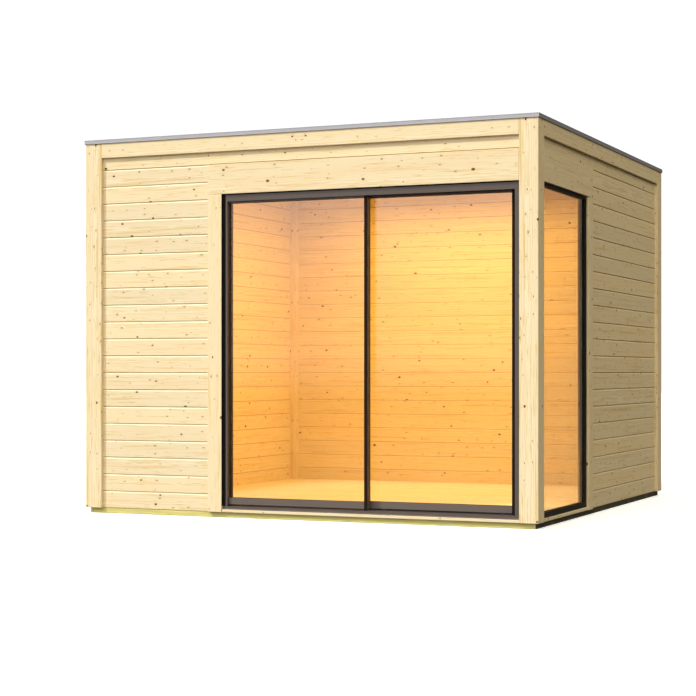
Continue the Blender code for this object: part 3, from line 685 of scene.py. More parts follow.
def timber(name, axis, heart, mirrored=False, tone=0.0, shaded_top=False, shade_line=None, **finish):
    """A sawn timber whose fibres follow one axis, with painted shade on its faces that look up, or on its
    part short of a line along X.
    """
    material, nodes, shader = new_material(name)
    shade = None
    if shaded_top:
        # Painted shade on faces that look up, which dulls the light they throw onto the wall above
        shade = nodes.ramp(nodes.facing()[2], 0.80, 0.95, 0.0, 0.95)
    if shade_line is not None:
        # Painted shade short of the line: the jamb's part behind the window frame, which lies in shade
        place = nodes.split(nodes.place())
        shade = nodes.ramp(place[0], shade_line - SHADE_LINE_BLUR, shade_line + SHADE_LINE_BLUR, 0.55, 0.0)
    finish_timber(nodes, shader, grain_axes(nodes, axis, heart, mirrored), tone, shade=shade, **finish)
    return material


def boarding(name, shade_depth=0.85, edge_share=0.6, **finish):
    """Boards that carry their own grain space, tone, painted joint shade and painted highlight on their
    upper chamfers.
    """
    material, nodes, shader = new_material(name)
    tone, shade, edge = nodes.split(nodes.carried("board"))
    finish.update(shade=nodes.times(shade, shade_depth), edge=nodes.times(edge, edge_share))
    finish_timber(nodes, shader, nodes.carried("grain"), tone, **finish)
    return material


def coated_metal(name, base, roughness, metallic=0.0, dusty=0.10, grains=900.0, sheen=0.5):
    """Metal or coating with a fine speckle and a little dust on what looks up."""
    material, nodes, shader = new_material(name)
    place = nodes.place()
    speckle = nodes.group(fine_speckle(), Place=place, Grains_Per_Metre=grains)
    dust = nodes.group(settled_dust(), Place=place, Splash_Height=METAL_SPLASH)
    body = nodes.mix(speckle["Mask"], base, tuple(channel * SPECKLE_DARKER for channel in base))
    dust_share = nodes.times(dust["Mask"], dusty)
    rough = nodes.math("MULTIPLY_ADD", speckle["Mask"], 0.10, roughness - 0.05)
    nodes.feed(
        shader,
        Base_Color=nodes.mix(dust_share, body, METAL_DUST),
        Roughness=nodes.math("MULTIPLY_ADD", dust_share, 0.4, rough, clamp=True),
        Metallic=metallic,
        Specular_IOR_Level=sheen,
        Normal=nodes.bump(speckle["Height"], *METAL_BUMP),
    )
    return material


# Coats of metal and rubber: their colour's name, roughness, and what sets them off from a plain coat
COATS = {
    "anthracite_coat": ("coat", 0.46, {"metallic": 0.12}),
    "leaf_coat": ("leaf_coat", 0.50, {"metallic": 0.12, "dusty": 0.06}),
    # Painted shade: dark copy of the coat for the side window's frame
    "window_coat": ("window_coat", 0.60, {"dusty": 0.03, "sheen": 0.12}),
    # Painted light: lighter copy of the coat for the threshold's lit top
    "threshold_coat": ("threshold", 0.55, {"metallic": 0.12}),
    # Dark strips: the left stile's cover, and painted shade on the right leaf's outer stile
    "stile_cover": ("cover", 0.80, {"dusty": 0.01, "grains": 1400.0, "sheen": 0.08}),
    "black_rubber": ("rubber", 0.80, {"dusty": 0.02, "grains": 1400.0, "sheen": 0.08}),
    "dark_spacer": ("spacer", 0.70, {"dusty": 0.0, "sheen": 0.1}),
    "roof_edge_metal": ("trim", 0.62, {"metallic": 0.70, "dusty": 0.04, "grains": 350.0, "sheen": 0.2}),
    "screw_zinc": ("screw", 0.32, {"metallic": 0.9}),
    "roof_sheet": ("sheet", 0.82, {"dusty": 0.05, "grains": 260.0, "sheen": 0.25}),
}


def coat(name):
    """One of the coats, made once."""
    known = bpy.data.materials.get(name)
    if known:
        return known
    colour_name, roughness, looks = COATS[name]
    base = tuple(getattr(bpy.context.scene.metal_colours, colour_name))
    return coated_metal(name, base, roughness, **looks)


def clear_glass(name, ior):
    """Clear panes that let the lamps' light through to the room."""
    material, nodes, shader = new_material(name)
    film = nodes.noise(nodes.place(), (2.2, 2.2, 5.0), detail=4.0, roughness=0.6)
    nodes.feed(
        shader,
        Base_Color=bpy.context.scene.metal_colours.glass,
        Roughness=0.0,
        IOR=ior,
        Transmission_Weight=1.0,
        Normal=nodes.bump(film, *GLASS_BUMP),
    )
    passing = nodes.feed(nodes.add("ShaderNodeBsdfTransparent"), Color=LIGHT_THROUGH_GLASS)
    shadow = nodes.add("ShaderNodeLightPath").outputs["Is Shadow Ray"]
    surface = nodes.either(shadow, shader.outputs[0], passing.outputs[0])
    nodes.put(material.node_tree.nodes["Material Output"].inputs["Surface"], surface)
    return material


def dress(material, *nodes):
    """Gives model nodes their own finish."""
    for node in nodes:
        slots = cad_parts[node].material_slots
        if not slots:
            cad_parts[node].data.materials.append(material)
            continue
        for slot in slots:
            slot.material = material


def mesh_from(name, shape):
    """Turns a shape into a mesh."""
    mesh = bpy.data.meshes.new(name)
    shape.to_mesh(mesh)
    shape.free()
    return mesh


def add_object(name, data):
    """Puts a new object into the scene."""
    item = bpy.data.objects.new(name, data)
    bpy.context.scene.collection.objects.link(item)
    return item


def new_piece(name, shape, materials, body, slot_name, *nodes):
    """Turns a shape into a piece that rides on a body and stands for model nodes."""
    piece = add_object(name, mesh_from(name, shape))
    for material in materials:
        piece.data.materials.append(material)
    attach(piece, body)
    if nodes:
        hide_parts(*nodes)
    return piece


def skin(shape, rings, material=0, loop=False):
    """Closes rings of points into a solid, capped at its ends or joined into a loop. Gives its faces."""
    pairs = list(zip(rings, rings[1:]))
    if loop:
        faces = []
        pairs.append((rings[-1], rings[0]))
    else:
        faces = [shape.faces.new(rings[0]), shape.faces.new(list(reversed(rings[-1])))]
    count = len(rings[0])
    for ring, following in pairs:
        for number in range(count):
            after = (number + 1) % count
            faces.append(shape.faces.new((ring[after], ring[number], following[number], following[after])))
    for face in faces:
        face.material_index = material
    bmesh.ops.recalc_face_normals(shape, faces=faces)
    return faces


def bar(shape, profile, to_room, start, end, material=0):
    """Adds a closed bar: a profile of (across, up) points, run from start to end. Gives faces and places."""
    rings = []
    places = {}
    for along in (start, end):
        rings.append([])
        for across, up in profile:
            rings[-1].append(shape.verts.new(to_room(along, across, up)))
            places[rings[-1][-1]] = (along, across, up)
    return skin(shape, rings, material), places


def as_given(x, y, z):
    """A point that already is in the room's own axes."""
    return (x, y, z)


def box_bar(shape, low, high, material=0):
    """Adds a plain box between two corners."""
    profile = [(low[1], low[2]), (high[1], low[2]), (high[1], high[2]), (low[1], high[2])]
    bar(shape, profile, as_given, low[0], high[0], material)


def board_profile(thickness, width, chamfers, gap, sizes, tongue, groove, back_joints):
    """Section of a board as (depth from its face, height): chamfers, tongue and groove."""
    lower, upper, slope = chamfers
    tongue_low = thickness * TONGUE_FROM
    tongue_high = min(tongue_low + sizes.tongue_width, thickness * TONGUE_TO)
    play = sizes.groove_play
    reach = sizes.tongue_height
    inner = sizes.inner_share if back_joints else FLAT_BACK
    points = [(0.0, gap + lower), (lower, gap)]
    if groove:
        points += [
            (tongue_low - play, gap),
            (tongue_low - play, reach + play),
            (tongue_high + play, reach + play),
            (tongue_high + play, gap),
        ]
    points += [(thickness - lower * inner, gap), (thickness, gap + lower * inner)]
    points += [(thickness, width - slope * inner), (thickness - upper * inner, width)]
    if tongue:
        points += [
            (tongue_high, width),
            (tongue_high, width + reach),
            (tongue_low, width + reach),
            (tongue_low, width),
        ]
    return points + [(upper, width), (0.0, width - slope)]


def lay_boards(node, rows, to_room, run, thickness, chamfers, material, back_joints=True, foot=None):
    """Lays a run of tongued boards side by side in a node's place, each with its own grain and tone."""
    sizes = bpy.context.scene.board_sizes
    name = f"{node}_boards"
    chance = random.Random(f"{sizes.seed}-{name}")
    shape = bmesh.new()
    grain = shape.loops.layers.float_vector.new("grain")
    facts = shape.loops.layers.float_vector.new("board")
    for number, (low, high) in enumerate(rows):
        width = high - low
        first, last = number == 0, number == len(rows) - 1
        gap = sizes.seat_gap if first else sizes.joint_gap
        lower = foot if foot and first else chamfers[0]
        bevels = (lower, *chamfers[1:])
        profile = board_profile(thickness, width, bevels, gap, sizes, not last, not first, back_joints)
        shift = chance.uniform(0.0, GRAIN_RUN)
        heart_up = width * chance.uniform(*HEART_UP)
        heart_deep = thickness * chance.choice(HEART_DEEP)
        tone = chance.uniform(-1.0, 1.0)
        step = chance.uniform(0.0, UNEVEN)

        def placed(along, across, up):
            inset = across + step if across < thickness * FRONT_PART else across
            return to_room(along, inset, low + up)

        faces, places = bar(shape, profile, placed, *run)
        for face in faces:
            heights = [places[vert][2] for vert in face.verts]
            depths = [places[vert][1] for vert in face.verts]
            in_joint = max(heights) <= gap + SAME_PLACE or min(heights) >= width - SAME_PLACE
            in_joint = in_joint and min(depths) > SAME_PLACE
            looks_down = in_joint or max(heights) <= gap + lower + SAME_PLACE
            looks_up = not in_joint and min(heights) >= width - chamfers[2] - SAME_PLACE
            inside = back_joints and min(depths) > thickness * BACK_PART
            shaded = in_joint or (looks_down and (inside or (foot and first)))
            shade = 1.0 if shaded else FOOT_SHADE if looks_down else 0.0
            for loop in face.loops:
                along, across, up = places[loop.vert]
                loop[grain] = (along + shift, up - heart_up, across - heart_deep)
                # The corners carry the board's tone, its painted shade and its painted highlight
                loop[facts] = (tone, shade, 1.0 if looks_up else 0.0)
    return new_piece(name, shape, [material], ROOT, "natural_spruce", node)


def carve(piece, boxes):
    """Cuts boxes out of a piece."""
    tools = []
    for low, high in boxes:
        shape = bmesh.new()
        box_bar(shape, low, high)
        tools.append(add_object("carving_tool", mesh_from("carving_tool", shape)))
        cut = piece.modifiers.new("carving", "BOOLEAN")
        cut.operation = "DIFFERENCE"
        cut.solver = "EXACT"
        cut.object = tools[-1]
    carved = bpy.data.meshes.new_from_object(piece.evaluated_get(bpy.context.evaluated_depsgraph_get()))
    piece.modifiers.clear()
    plain, piece.data = piece.data, carved
    carved.name = piece.name
    bpy.data.meshes.remove(plain)
    for tool in tools:
        mesh = tool.data
        bpy.data.objects.remove(tool)
        bpy.data.meshes.remove(mesh)


def wall_rows(low, high):
    """Board rows of a wall from one level to another, on the building's common joint lines."""
    pitch = bpy.context.scene.board_sizes.wall_pitch
    base = WALL_BOX[0].z
    rows = []
    level = low
    while level < high - THINNEST_ROW:
        above = base + pitch * (math.floor((level - base) / pitch + SAME_ROW) + 1)
        rows.append((level, min(above, high)))
        level = above
    return rows


def even_rows(low, high, pitch):
    """Splits a stretch into even rows close to a pitch."""
    count = max(1, round((high - low) / pitch))
    step = (high - low) / count
    return [(low + step * number, low + step * (number + 1)) for number in range(count)]


def into_room(side, outer):
    """Gives the place of a point on a wall: along it, in from its outer face, and up."""
    if side == "front":
        return lambda along, deep, up: (along, -outer + deep, up)
    if side == "back":
        return lambda along, deep, up: (along, outer - deep, up)
    if side == "left":
        return lambda along, deep, up: (-outer + deep, along, up)
    return lambda along, deep, up: (outer - deep, along, up)


class GARDEN_OT_wall_boards(bpy.types.Operator):
    """Builds the walls from tongued boards with open V joints on both faces"""

    bl_idname = "garden_room.wall_boards"
    bl_label = "Wall boards"

    def execute(self, context):
        sizes = context.scene.board_sizes
        front = boarding("spruce_wall_boards")
        # Side walls: a copy with deeper painted shade in the joints and no painted highlight
        sides = boarding("spruce_side_boards", shade_depth=1.7, edge_share=0.0)
        pockets = self.rafter_ends(sizes.seat_gap)
        for node in WALLS:
            side = node.split("_")[0]
            low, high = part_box(node)
            run = 0 if side in ("front", "back") else 1
            deep = 1 - run
            boards = lay_boards(
                node,
                wall_rows(low.z, high.z),
                into_room(side, max(abs(low[deep]), abs(high[deep]))),
                (low[run], high[run]),
                high[deep] - low[deep],
                (sizes.wall_lower_chamfer, sizes.wall_upper_chamfer, sizes.wall_upper_slope),
                sides if side in ("left", "right") else front,
                foot=sizes.lintel_chamfer if node.endswith("_top") else None,
            )
            reach = [box for box in pockets if self.meets(box, low, high)]
            if reach:
                carve(boards, reach)
        return {"FINISHED"}

    @staticmethod
    def rafter_ends(play):
        """Boxes round the rafters, which the walls are cut for."""
        boxes = []
        margin = Vector((play, play, play))
        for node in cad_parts:
            if node.startswith("rafter_"):
                low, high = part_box(node)
                boxes.append((low - margin, high + margin * RAFTER_PLAYS_ABOVE))
        return boxes

    @staticmethod
    def meets(box, low, high):
        """True if a box reaches into the space between two corners."""
        return all(box[0][k] < high[k] and box[1][k] > low[k] for k in range(3))


class GARDEN_OT_floor_boards(bpy.types.Operator):
    """Lays the floor boards, cut round the posts, the jambs and the sills"""

    bl_idname = "garden_room.floor_boards"
    bl_label = "Floor boards"

    def execute(self, context):
        sizes = context.scene.board_sizes
        low, high = FLOOR_BOX
        floor = lay_boards(
            "floor",
            even_rows(low.y, high.y, sizes.floor_pitch),
            lambda along, deep, up: (along, up, high.z - deep),
            (low.x, high.x),
            high.z - low.z,
            [sizes.floor_chamfer] * 3,
            boarding("spruce_floor_boards", shade_depth=0.9, knot_share=0.22, pale=(0.90, 0.85, 0.72)),
            back_joints=False,
        )
        gap = sizes.seat_gap
        margin = Vector((gap, gap, 0.0))
        blockers = ["door_jamb", "door_sill", "window_jamb", "window_sill"]
        blockers += [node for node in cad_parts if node.startswith("post_")]
        boxes = []
        for node in blockers:
            near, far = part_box(node)
            boxes.append((near - margin - Vector((0.0, 0.0, BELOW_FLOOR)), far + margin))
        for node, play in (("door_frame", 0.0), ("window_lintel", gap)):
            near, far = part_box(node)
            corner = Vector((near.x - play, -PAST_ROOM, 0.0))
            boxes.append((corner, Vector((PAST_ROOM, far.y + gap, PAST_FLOOR_TOP))))
        carve(floor, boxes)
        return {"FINISHED"}


class GARDEN_OT_roof_boards(bpy.types.Operator):
    """Lays the roof boards with their V joints towards the room"""

    bl_idname = "garden_room.roof_boards"
    bl_label = "Roof boards"

    def execute(self, context):
        sizes = context.scene.board_sizes
        low, high = DECK_BOX
        lay_boards(
            "roof_deck",
            even_rows(low.y, high.y, sizes.roof_pitch),
            lambda along, deep, up: (along, up, low.z + deep),
            (low.x, high.x),
            high.z - low.z,
            [sizes.roof_chamfer] * 3,
            boarding("spruce_roof_boards"),
            back_joints=False,
        )
        return {"FINISHED"}


class GARDEN_OT_timbers(bpy.types.Operator):
    """Gives the posts, jambs, lintels, fascias, sills, rafters and base their timber"""

    bl_idname = "garden_room.timbers"
    bl_label = "Posts and timbers"

    def execute(self, context):
        # Each timber's rings grow round a heart that lies a little off its middle
        jamb = self.middle("door_jamb")
        side_jamb = self.middle("window_jamb")
        lintel = self.middle("door_lintel")
        side_lintel = self.middle("window_lintel")
        post = self.middle("post_back_right")
        fascia = self.middle("fascia_back")
        side_fascia = self.middle("fascia_right")
        rafter = self.middle("rafter_2")
        heart = (post.x + 0.02, post.y - 0.03, 0.0)
        wood = timber("spruce_posts", "Z", heart, mirrored=True, tone=0.1, streaks=1.5)
        dress(wood, "post_front_left", "post_front_right", "post_back_left", "post_back_right")
        heart = (jamb.x + 0.10, jamb.y + 0.03, 0.6)
        dress(timber("spruce_door_jamb", "Z", heart, tone=0.5), "door_jamb")
        heart = (side_jamb.x, side_jamb.y + 0.12, 0.3)
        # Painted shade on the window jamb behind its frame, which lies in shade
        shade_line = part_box("window_frame")[0].x
        dress(timber("spruce_window_jamb", "Z", heart, tone=0.2, shade_line=shade_line), "window_jamb")
        heart = (0.4, lintel.y + 0.09, lintel.z - 0.05)
        dress(timber("spruce_door_lintel", "X", heart, tone=-0.2, shaded_top=True), "door_lintel")
        heart = (side_lintel.x - 0.08, 0.2, side_lintel.z + 0.03)
        dress(timber("spruce_window_lintel", "Y", heart, tone=0.1, shaded_top=True), "window_lintel")
        heart = (0.0, fascia.y - 0.07, fascia.z - 0.02)
        dress(timber("spruce_fascia", "X", heart, mirrored=True, tone=0.3), "fascia_front", "fascia_back")
        heart = (side_fascia.x - 0.06, 0.7, side_fascia.z + 0.03)
        dress(timber("spruce_side_fascia", "Y", heart, mirrored=True), "fascia_left", "fascia_right")
        dress(timber("spruce_sill", "X", SILL_HEART, tone=-0.6, knot_share=0.1), "door_sill")
        wood = timber("spruce_window_sill", "Y", WINDOW_SILL_HEART, tone=-0.4, knot_share=0.1)
        dress(wood, "window_sill")
        heart = (rafter.x + 0.02, 0.0, rafter.z - 0.04)
        dress(timber("spruce_rafter", "Y", heart, tone=0.4), "rafter_1", "rafter_2", "rafter_3")

        colours = context.scene.timber_colours
        treated = {"mirrored": True, "treated": True, "knot_share": 0.2, "spacing": TREATED_RING_SPACING}
        # Painted shade: the side beams and joists take the dark copy of the treated timber
        shaded = {"pale": colours.treated_shaded, "ring": colours.shaded_ring, **treated}
        dress(timber("treated_base", "X", BASE_HEART, **treated), "base_front", "base_back")
        joists = ("floor_joist_1", "floor_joist_2", "floor_joist_3")
        wood = timber("treated_side_base", "Y", SIDE_BASE_HEART, **shaded)
        dress(wood, "base_left", "base_right", *joists)
        return {"FINISHED"}

    @staticmethod
    def middle(node):
        """The middle of a model node."""
        low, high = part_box(node)
        return (low + high) / 2


class GARDEN_OT_roof_sheet(bpy.types.Operator):
    """Lays the roof sheet in lapped strips with soft waves"""

    bl_idname = "garden_room.roof_sheet"
    bl_label = "Roof sheet"

    def execute(self, context):
        sizes = context.scene.roof_sizes
        low, high = SHEET_BOX
        ys = self.lines_across(sizes, low.y, high.y)
        xs = [low.x + (high.x - low.x) * number / SHEET_COLUMNS for number in range(SHEET_COLUMNS + 1)]
        chance = random.Random(SHEET_SEED)
        waves = [
            (chance.uniform(1.0, 5.0), chance.uniform(1.0, 5.0), chance.uniform(0.0, 6.28))
            for _ in range(SHEET_WAVES)
        ]
        shape = bmesh.new()
        top, bottom = [], []
        for x in xs:
            top.append([])
            bottom.append([])
            for y, lapped in ys:
                wave = sum(math.sin(a * x + b * y + c) for a, b, c in waves) / len(waves)
                z = high.z - sizes.lap_rise - sizes.wave_height + sizes.wave_height * wave
                z += sizes.lap_rise if lapped else 0.0
                top[-1].append(shape.verts.new((x, y, min(z, high.z))))
                bottom[-1].append(shape.verts.new((x, y, low.z)))
        for i in range(len(xs) - 1):
            for j in range(len(ys) - 1):
                face = shape.faces.new((top[i][j], top[i + 1][j], top[i + 1][j + 1], top[i][j + 1]))
                face.smooth = True
                shape.faces.new((bottom[i][j], bottom[i][j + 1], bottom[i + 1][j + 1], bottom[i + 1][j]))
        for i in range(len(xs) - 1):
            for j in (0, len(ys) - 1):
                shape.faces.new((top[i][j], top[i + 1][j], bottom[i + 1][j], bottom[i][j]))
        for j in range(len(ys) - 1):
            for i in (0, len(xs) - 1):
                shape.faces.new((top[i][j], top[i][j + 1], bottom[i][j + 1], bottom[i][j]))
        bmesh.ops.recalc_face_normals(shape, faces=shape.faces)
        new_piece("roof_sheet", shape, [coat("roof_sheet")], ROOT, "roof_membrane_rubber", "roof_membrane")
        return {"FINISHED"}

    @staticmethod
    def lines_across(sizes, low, high):
        """Lines across the sheet, each with whether it lies on a lap."""
        lines = [(low, False), (high, False)]
        seams = even_rows(low, high, sizes.strip_width)
        for seam, _ in seams[1:]:
            lines += [
                (seam - sizes.lap_width, False),
                (seam - sizes.lap_width + LAP_EDGE, True),
                (seam, True),
                (seam + LAP_SLOPE, False),
            ]
        for number in range(1, int((high - low) / SHEET_LINE_STEP)):
            y = low + number * SHEET_LINE_STEP
            if all(abs(y - seam) > sizes.lap_width + LAP_CLEAR for seam, _ in seams[1:]):
                lines.append((y, False))
        return sorted(lines)


class GARDEN_OT_roof_edge(bpy.types.Operator):
    """Bends the roof's edge trims, mitres them and screws them down"""

    bl_idname = "garden_room.roof_edge"
    bl_label = "Roof edge"

    def execute(self, context):
        sizes = context.scene.roof_sizes
        materials = [coat("roof_edge_metal"), coat("screw_zinc")]
        for side in SIDES:
            shape = bmesh.new()
            place = self.placed(side)
            self.trim(shape, place, sizes.trim_sheet)
            self.screws(shape, place, sizes)
            new_piece(f"roof_edge_{side}", shape, materials, ROOT, "roof_trim_metal", f"roof_trim_{side}")
        return {"FINISHED"}

    @staticmethod
    def placed(side):
        """Gives the place of a point on a trim: along it, in from the edge, and up from its foot."""
        foot = TRIM_BOX[0].z
        wall = into_room(side, TRIM_BOX[1].x)
        return lambda along, inward, up: wall(along, inward, foot + up)

    @staticmethod
    def trim(shape, place, sheet):
        """Adds one trim between its two mitred ends.

        Its section of (distance in from the edge, height above the foot) goes up the outside over a bead
        at the foot and one at the top, in along the flange and back down the inside.
        """
        face = BEAD_DEPTH
        height = TRIM_HEIGHT
        top = height - FLANGE_DROP
        section = [
            (face + sheet / 2, 0.0),
            (0.0004, 0.0004),
            (0.0, 0.0020),
            (0.0006, 0.0040),
            (face, 0.0052),
            (face, height - 0.0062),
            (0.0004, height - 0.0046),
            (0.0, height - 0.0028),
            (0.0005, height - 0.0010),
            (0.0018, height - 0.0001),
            (0.0048, height),
            (0.0070, top + 0.0003),
            (0.0085, top),
            (TRIM_FLANGE, top),
            (TRIM_FLANGE, top - sheet),
            (face + sheet + SMALL_BEVEL, top - sheet),
            (face + sheet, top - sheet - SMALL_BEVEL),
            (face + sheet, 0.0008),
        ]
        reach = TRIM_BOX[1].x
        rings = []
        for sign in (-1, 1):
            ends = [(sign * (reach - inward - BUTT_GAP), inward, up) for inward, up in section]
            rings.append([shape.verts.new(place(*end)) for end in ends])
        skin(shape, rings)

    @staticmethod
    def screws(shape, place, sizes):
        """Adds the domed heads of the screws in the trim's flange."""
        reach = TRIM_BOX[1].x - SCREW_END
        foot = TRIM_HEIGHT - FLANGE_DROP + SCREW_LIFT
        for low, high in even_rows(-reach, reach, sizes.screw_pitch):
            rings = []
            for spread, rise in SCREW_DOME:
                radius = sizes.screw_radius * spread
                rings.append([])
                for number in range(SCREW_STEPS):
                    turn = 2 * math.pi * number / SCREW_STEPS
                    along = (low + high) / 2 + radius * math.cos(turn)
                    inward = TRIM_FLANGE * SCREW_PLACE + radius * math.sin(turn)
                    corner = place(along, inward, foot + sizes.screw_height * rise)
                    rings[-1].append(shape.verts.new(corner))
            for face in skin(shape, rings, material=1):
                face.smooth = True


def corner_rings(shape, outlines):
    """Rings for a skin, one at each corner, from the path that each point of a section follows."""
    points = [[shape.verts.new(corner) for corner in path] for path in outlines]
    return list(zip(*points))


def pane_ring(shape, section, low, high, to_room, material=0):
    """Adds a mitred ring round a rectangle: a section of (inset, depth) points."""
    outlines = []
    for inset, depth in section:
        left, right = low[0] + inset, high[0] - inset
        foot, top = low[1] + inset, high[1] - inset
        corners = ((left, foot), (right, foot), (right, top), (left, top))
        outlines.append([to_room(along, depth, up) for along, up in corners])
    skin(shape, corner_rings(shape, outlines), material, loop=True)


def glazing(owner, glass_node, body, run, glass, reach):
    """Builds one double pane with its spacer and its gaskets, in the frame's groove."""
    sizes = bpy.context.scene.glazing_sizes
    low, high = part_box(glass_node)
    near, far = low[1 - run], high[1 - run]
    outline = (low[run], low.z), (high[run], high.z)
    thick = sizes.pane_thickness

    def placed(along, depth, up):
        return (along, depth, up) if run == 0 else (depth, along, up)

    shape = bmesh.new()
    for start, end in ((near, near + thick), (far - thick, far)):
        box_bar(shape, placed(low[run], start, low.z), placed(high[run], end, high.z))
    new_piece(f"{owner}_panes", shape, [glass], body, "clear_glazing", glass_node)

    inner_near = near + thick + GLUE_GAP
    inner_far = far - thick - GLUE_GAP
    seal = sizes.spacer_seal
    shape = bmesh.new()
    section = [(EDGE_GAP, inner_near), (EDGE_GAP, inner_far), (seal, inner_far), (seal, inner_near)]
    pane_ring(shape, section, *outline, placed, material=1)
    section = [
        (seal + GLUE_GAP, inner_near),
        (seal + GLUE_GAP, inner_far),
        (reach - SMALL_BEVEL, inner_far),
        (reach, inner_far - SMALL_BEVEL),
        (reach, inner_near + SMALL_BEVEL),
        (reach - SMALL_BEVEL, inner_near),
    ]
    pane_ring(shape, section, *outline, placed)
    new_piece(f"{owner}_spacer", shape, [coat("dark_spacer"), coat("black_rubber")], body, "roof_trim_metal")

    shape = bmesh.new()
    start = sizes.bite + sizes.gasket_play
    end = sizes.bite + sizes.gasket_width
    for face, out in ((near, -1), (far, 1)):
        touch = face + out * sizes.gasket_play
        crest = face + out * sizes.gasket_height
        section = [
            (start, touch),
            (end, touch),
            (end - GASKET_LIP_IN, touch + out * GASKET_LIP_UP),
            (start + GASKET_SLOPE, crest),
            (start, crest),
        ]
        pane_ring(shape, section, *outline, placed)
    new_piece(f"{owner}_gaskets", shape, [coat("black_rubber")], body, "anthracite_aluminium")


class GARDEN_OT_door(bpy.types.Operator):
    """Coats the door's frame and leaves, and fits their panes, seals, strips and threshold"""

    bl_idname = "garden_room.door"
    bl_label = "Sliding door"

    def execute(self, context):
        sizes = context.scene.glazing_sizes
        dress(coat("anthracite_coat"), "door_frame", *(f"{leaf}_fin" for leaf in LEAVES))
        dress(coat("leaf_coat"), *(f"{leaf}_frame" for leaf in LEAVES))
        glass = clear_glass("door_glass", DOOR_GLASS_IOR)
        for leaf in LEAVES:
            glazing(leaf, f"{leaf}_glass", leaf, 0, glass, sizes.spacer_reach)
        self.brushes(sizes)
        self.cover_strip(sizes)
        self.edge_seal(sizes)
        self.threshold(sizes)
        self.catch_shade_strip(sizes)
        return {"FINISHED"}

    @staticmethod
    def brushes(sizes):
        """Fits brush pile behind the frame's front lip and before its back lip, and a bar on its sill."""
        low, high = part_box("door_frame")
        leaf_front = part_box("left_leaf_frame")[0].y - sizes.brush_gap
        leaf_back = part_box("right_leaf_frame")[1].y + sizes.brush_gap
        lip_front = low.y + sizes.frame_front_lip
        lip_back = high.y - sizes.frame_back_lip
        width = sizes.brush_width
        lap = width / 4
        spans = (
            (lip_front + GLUE_GAP, leaf_front, sizes.frame_side_face),
            (leaf_back, lip_back - GLUE_GAP, sizes.frame_rear_face),
        )
        shape = bmesh.new()
        for near, far, face in spans:
            left = low.x + face - width - lap
            right = high.x - face + lap
            top = high.z - sizes.frame_head_face + lap
            foot = low.z + sizes.frame_sill_face + sizes.sill_brush_height + lap
            box_bar(shape, (left, near, foot), (left + width, far, top + width))
            box_bar(shape, (right, near, foot), (right + width, far, top + width))
            box_bar(shape, (left + width + BUTT_GAP, near, top), (right - BUTT_GAP, far, top + width))
        foot = low.z + sizes.frame_sill_face + BUTT_GAP
        corner = (low.x + sizes.frame_rear_face, max(leaf_back, lip_back + EDGE_GAP), foot)
        top = foot + sizes.sill_brush_height
        box_bar(shape, corner, (high.x - sizes.frame_rear_face, high.y - EDGE_GAP, top), 1)
        materials = [coat("black_rubber"), coat("anthracite_coat")]
        new_piece("door_frame_brushes", shape, materials, ROOT, "anthracite_aluminium")

    @staticmethod
    def cover_strip(sizes):
        """Sticks a dark strip on the front of the left leaf's meeting stile."""
        low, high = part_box("left_leaf_frame")
        stile = high.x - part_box("left_leaf_glass")[1].x + sizes.bite
        right = high.x - (stile - sizes.cover_width) / 2
        left = right - sizes.cover_width
        back = low.y - GLUE_GAP
        front = low.y - sizes.cover_sheet - GLUE_GAP
        profile = [
            (back, left),
            (front, left + sizes.cover_sheet),
            (front, right - sizes.cover_sheet),
            (back, right),
        ]
        shape = bmesh.new()
        ends = (low.z + STRIP_SHORT, high.z - STRIP_SHORT)
        bar(shape, profile, lambda up, deep, along: (along, deep, up), *ends)
        new_piece("left_leaf_cover_strip", shape, [coat("stile_cover")], "left_leaf", "anthracite_aluminium")

    @staticmethod
    def catch_shade_strip(sizes):
        """Sticks a dark strip on the right leaf's outer stile as painted shade, where the stile shows in
        shadow beside the frame's lip.
        """
        low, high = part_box("right_leaf_frame")
        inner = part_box("right_leaf_glass")[1].x - sizes.bite
        corner = (inner + CATCH_GAP, low.y - sizes.cover_sheet - GLUE_GAP, low.z + STRIP_SHORT)
        shape = bmesh.new()
        box_bar(shape, corner, (inner + sizes.catch_shade_strip_width, low.y - GLUE_GAP, high.z - STRIP_SHORT))
        materials = [coat("stile_cover")]
        new_piece("right_leaf_cover_strip", shape, materials, "right_leaf", "anthracite_aluminium")

    @staticmethod
    def edge_seal(sizes):
        """Lines the joint between frame and timber with a black angle, and the right lip with a line."""
        low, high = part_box("door_frame")
        front = -POST_FACE + sizes.edge_setback
        sheet = sizes.edge_seal_sheet
        touch = low.y - GLUE_GAP
        cover = sizes.edge_seal_cover
        left = sizes.edge_seal_left
        foot = low.z + sizes.frame_sill_face
        section = [
            (0.0, 0.0, touch),
            (left, cover, touch),
            (left, cover, touch - sheet),
            (sheet, sheet, touch - sheet),
            (sheet, sheet, front),
            (0.0, 0.0, front),
        ]
        outlines = []
        for at_left, inset, depth in section:
            near, far, top = low.x + at_left, high.x - inset, high.z - inset
            corners = ((near, foot), (near, top), (far, top), (far, foot))
            outlines.append([(x, depth, z) for x, z in corners])
        shape = bmesh.new()
        skin(shape, corner_rings(shape, outlines))
        lip = high.x - sizes.frame_side_face + GLUE_GAP
        head = high.z - sizes.frame_head_face
        box_bar(shape, (lip, touch - sheet / 2, foot + EDGE_GAP), (lip + sizes.lip_line, touch, head))
        new_piece("door_edge_seal", shape, [coat("black_rubber")], ROOT, "anthracite_aluminium")

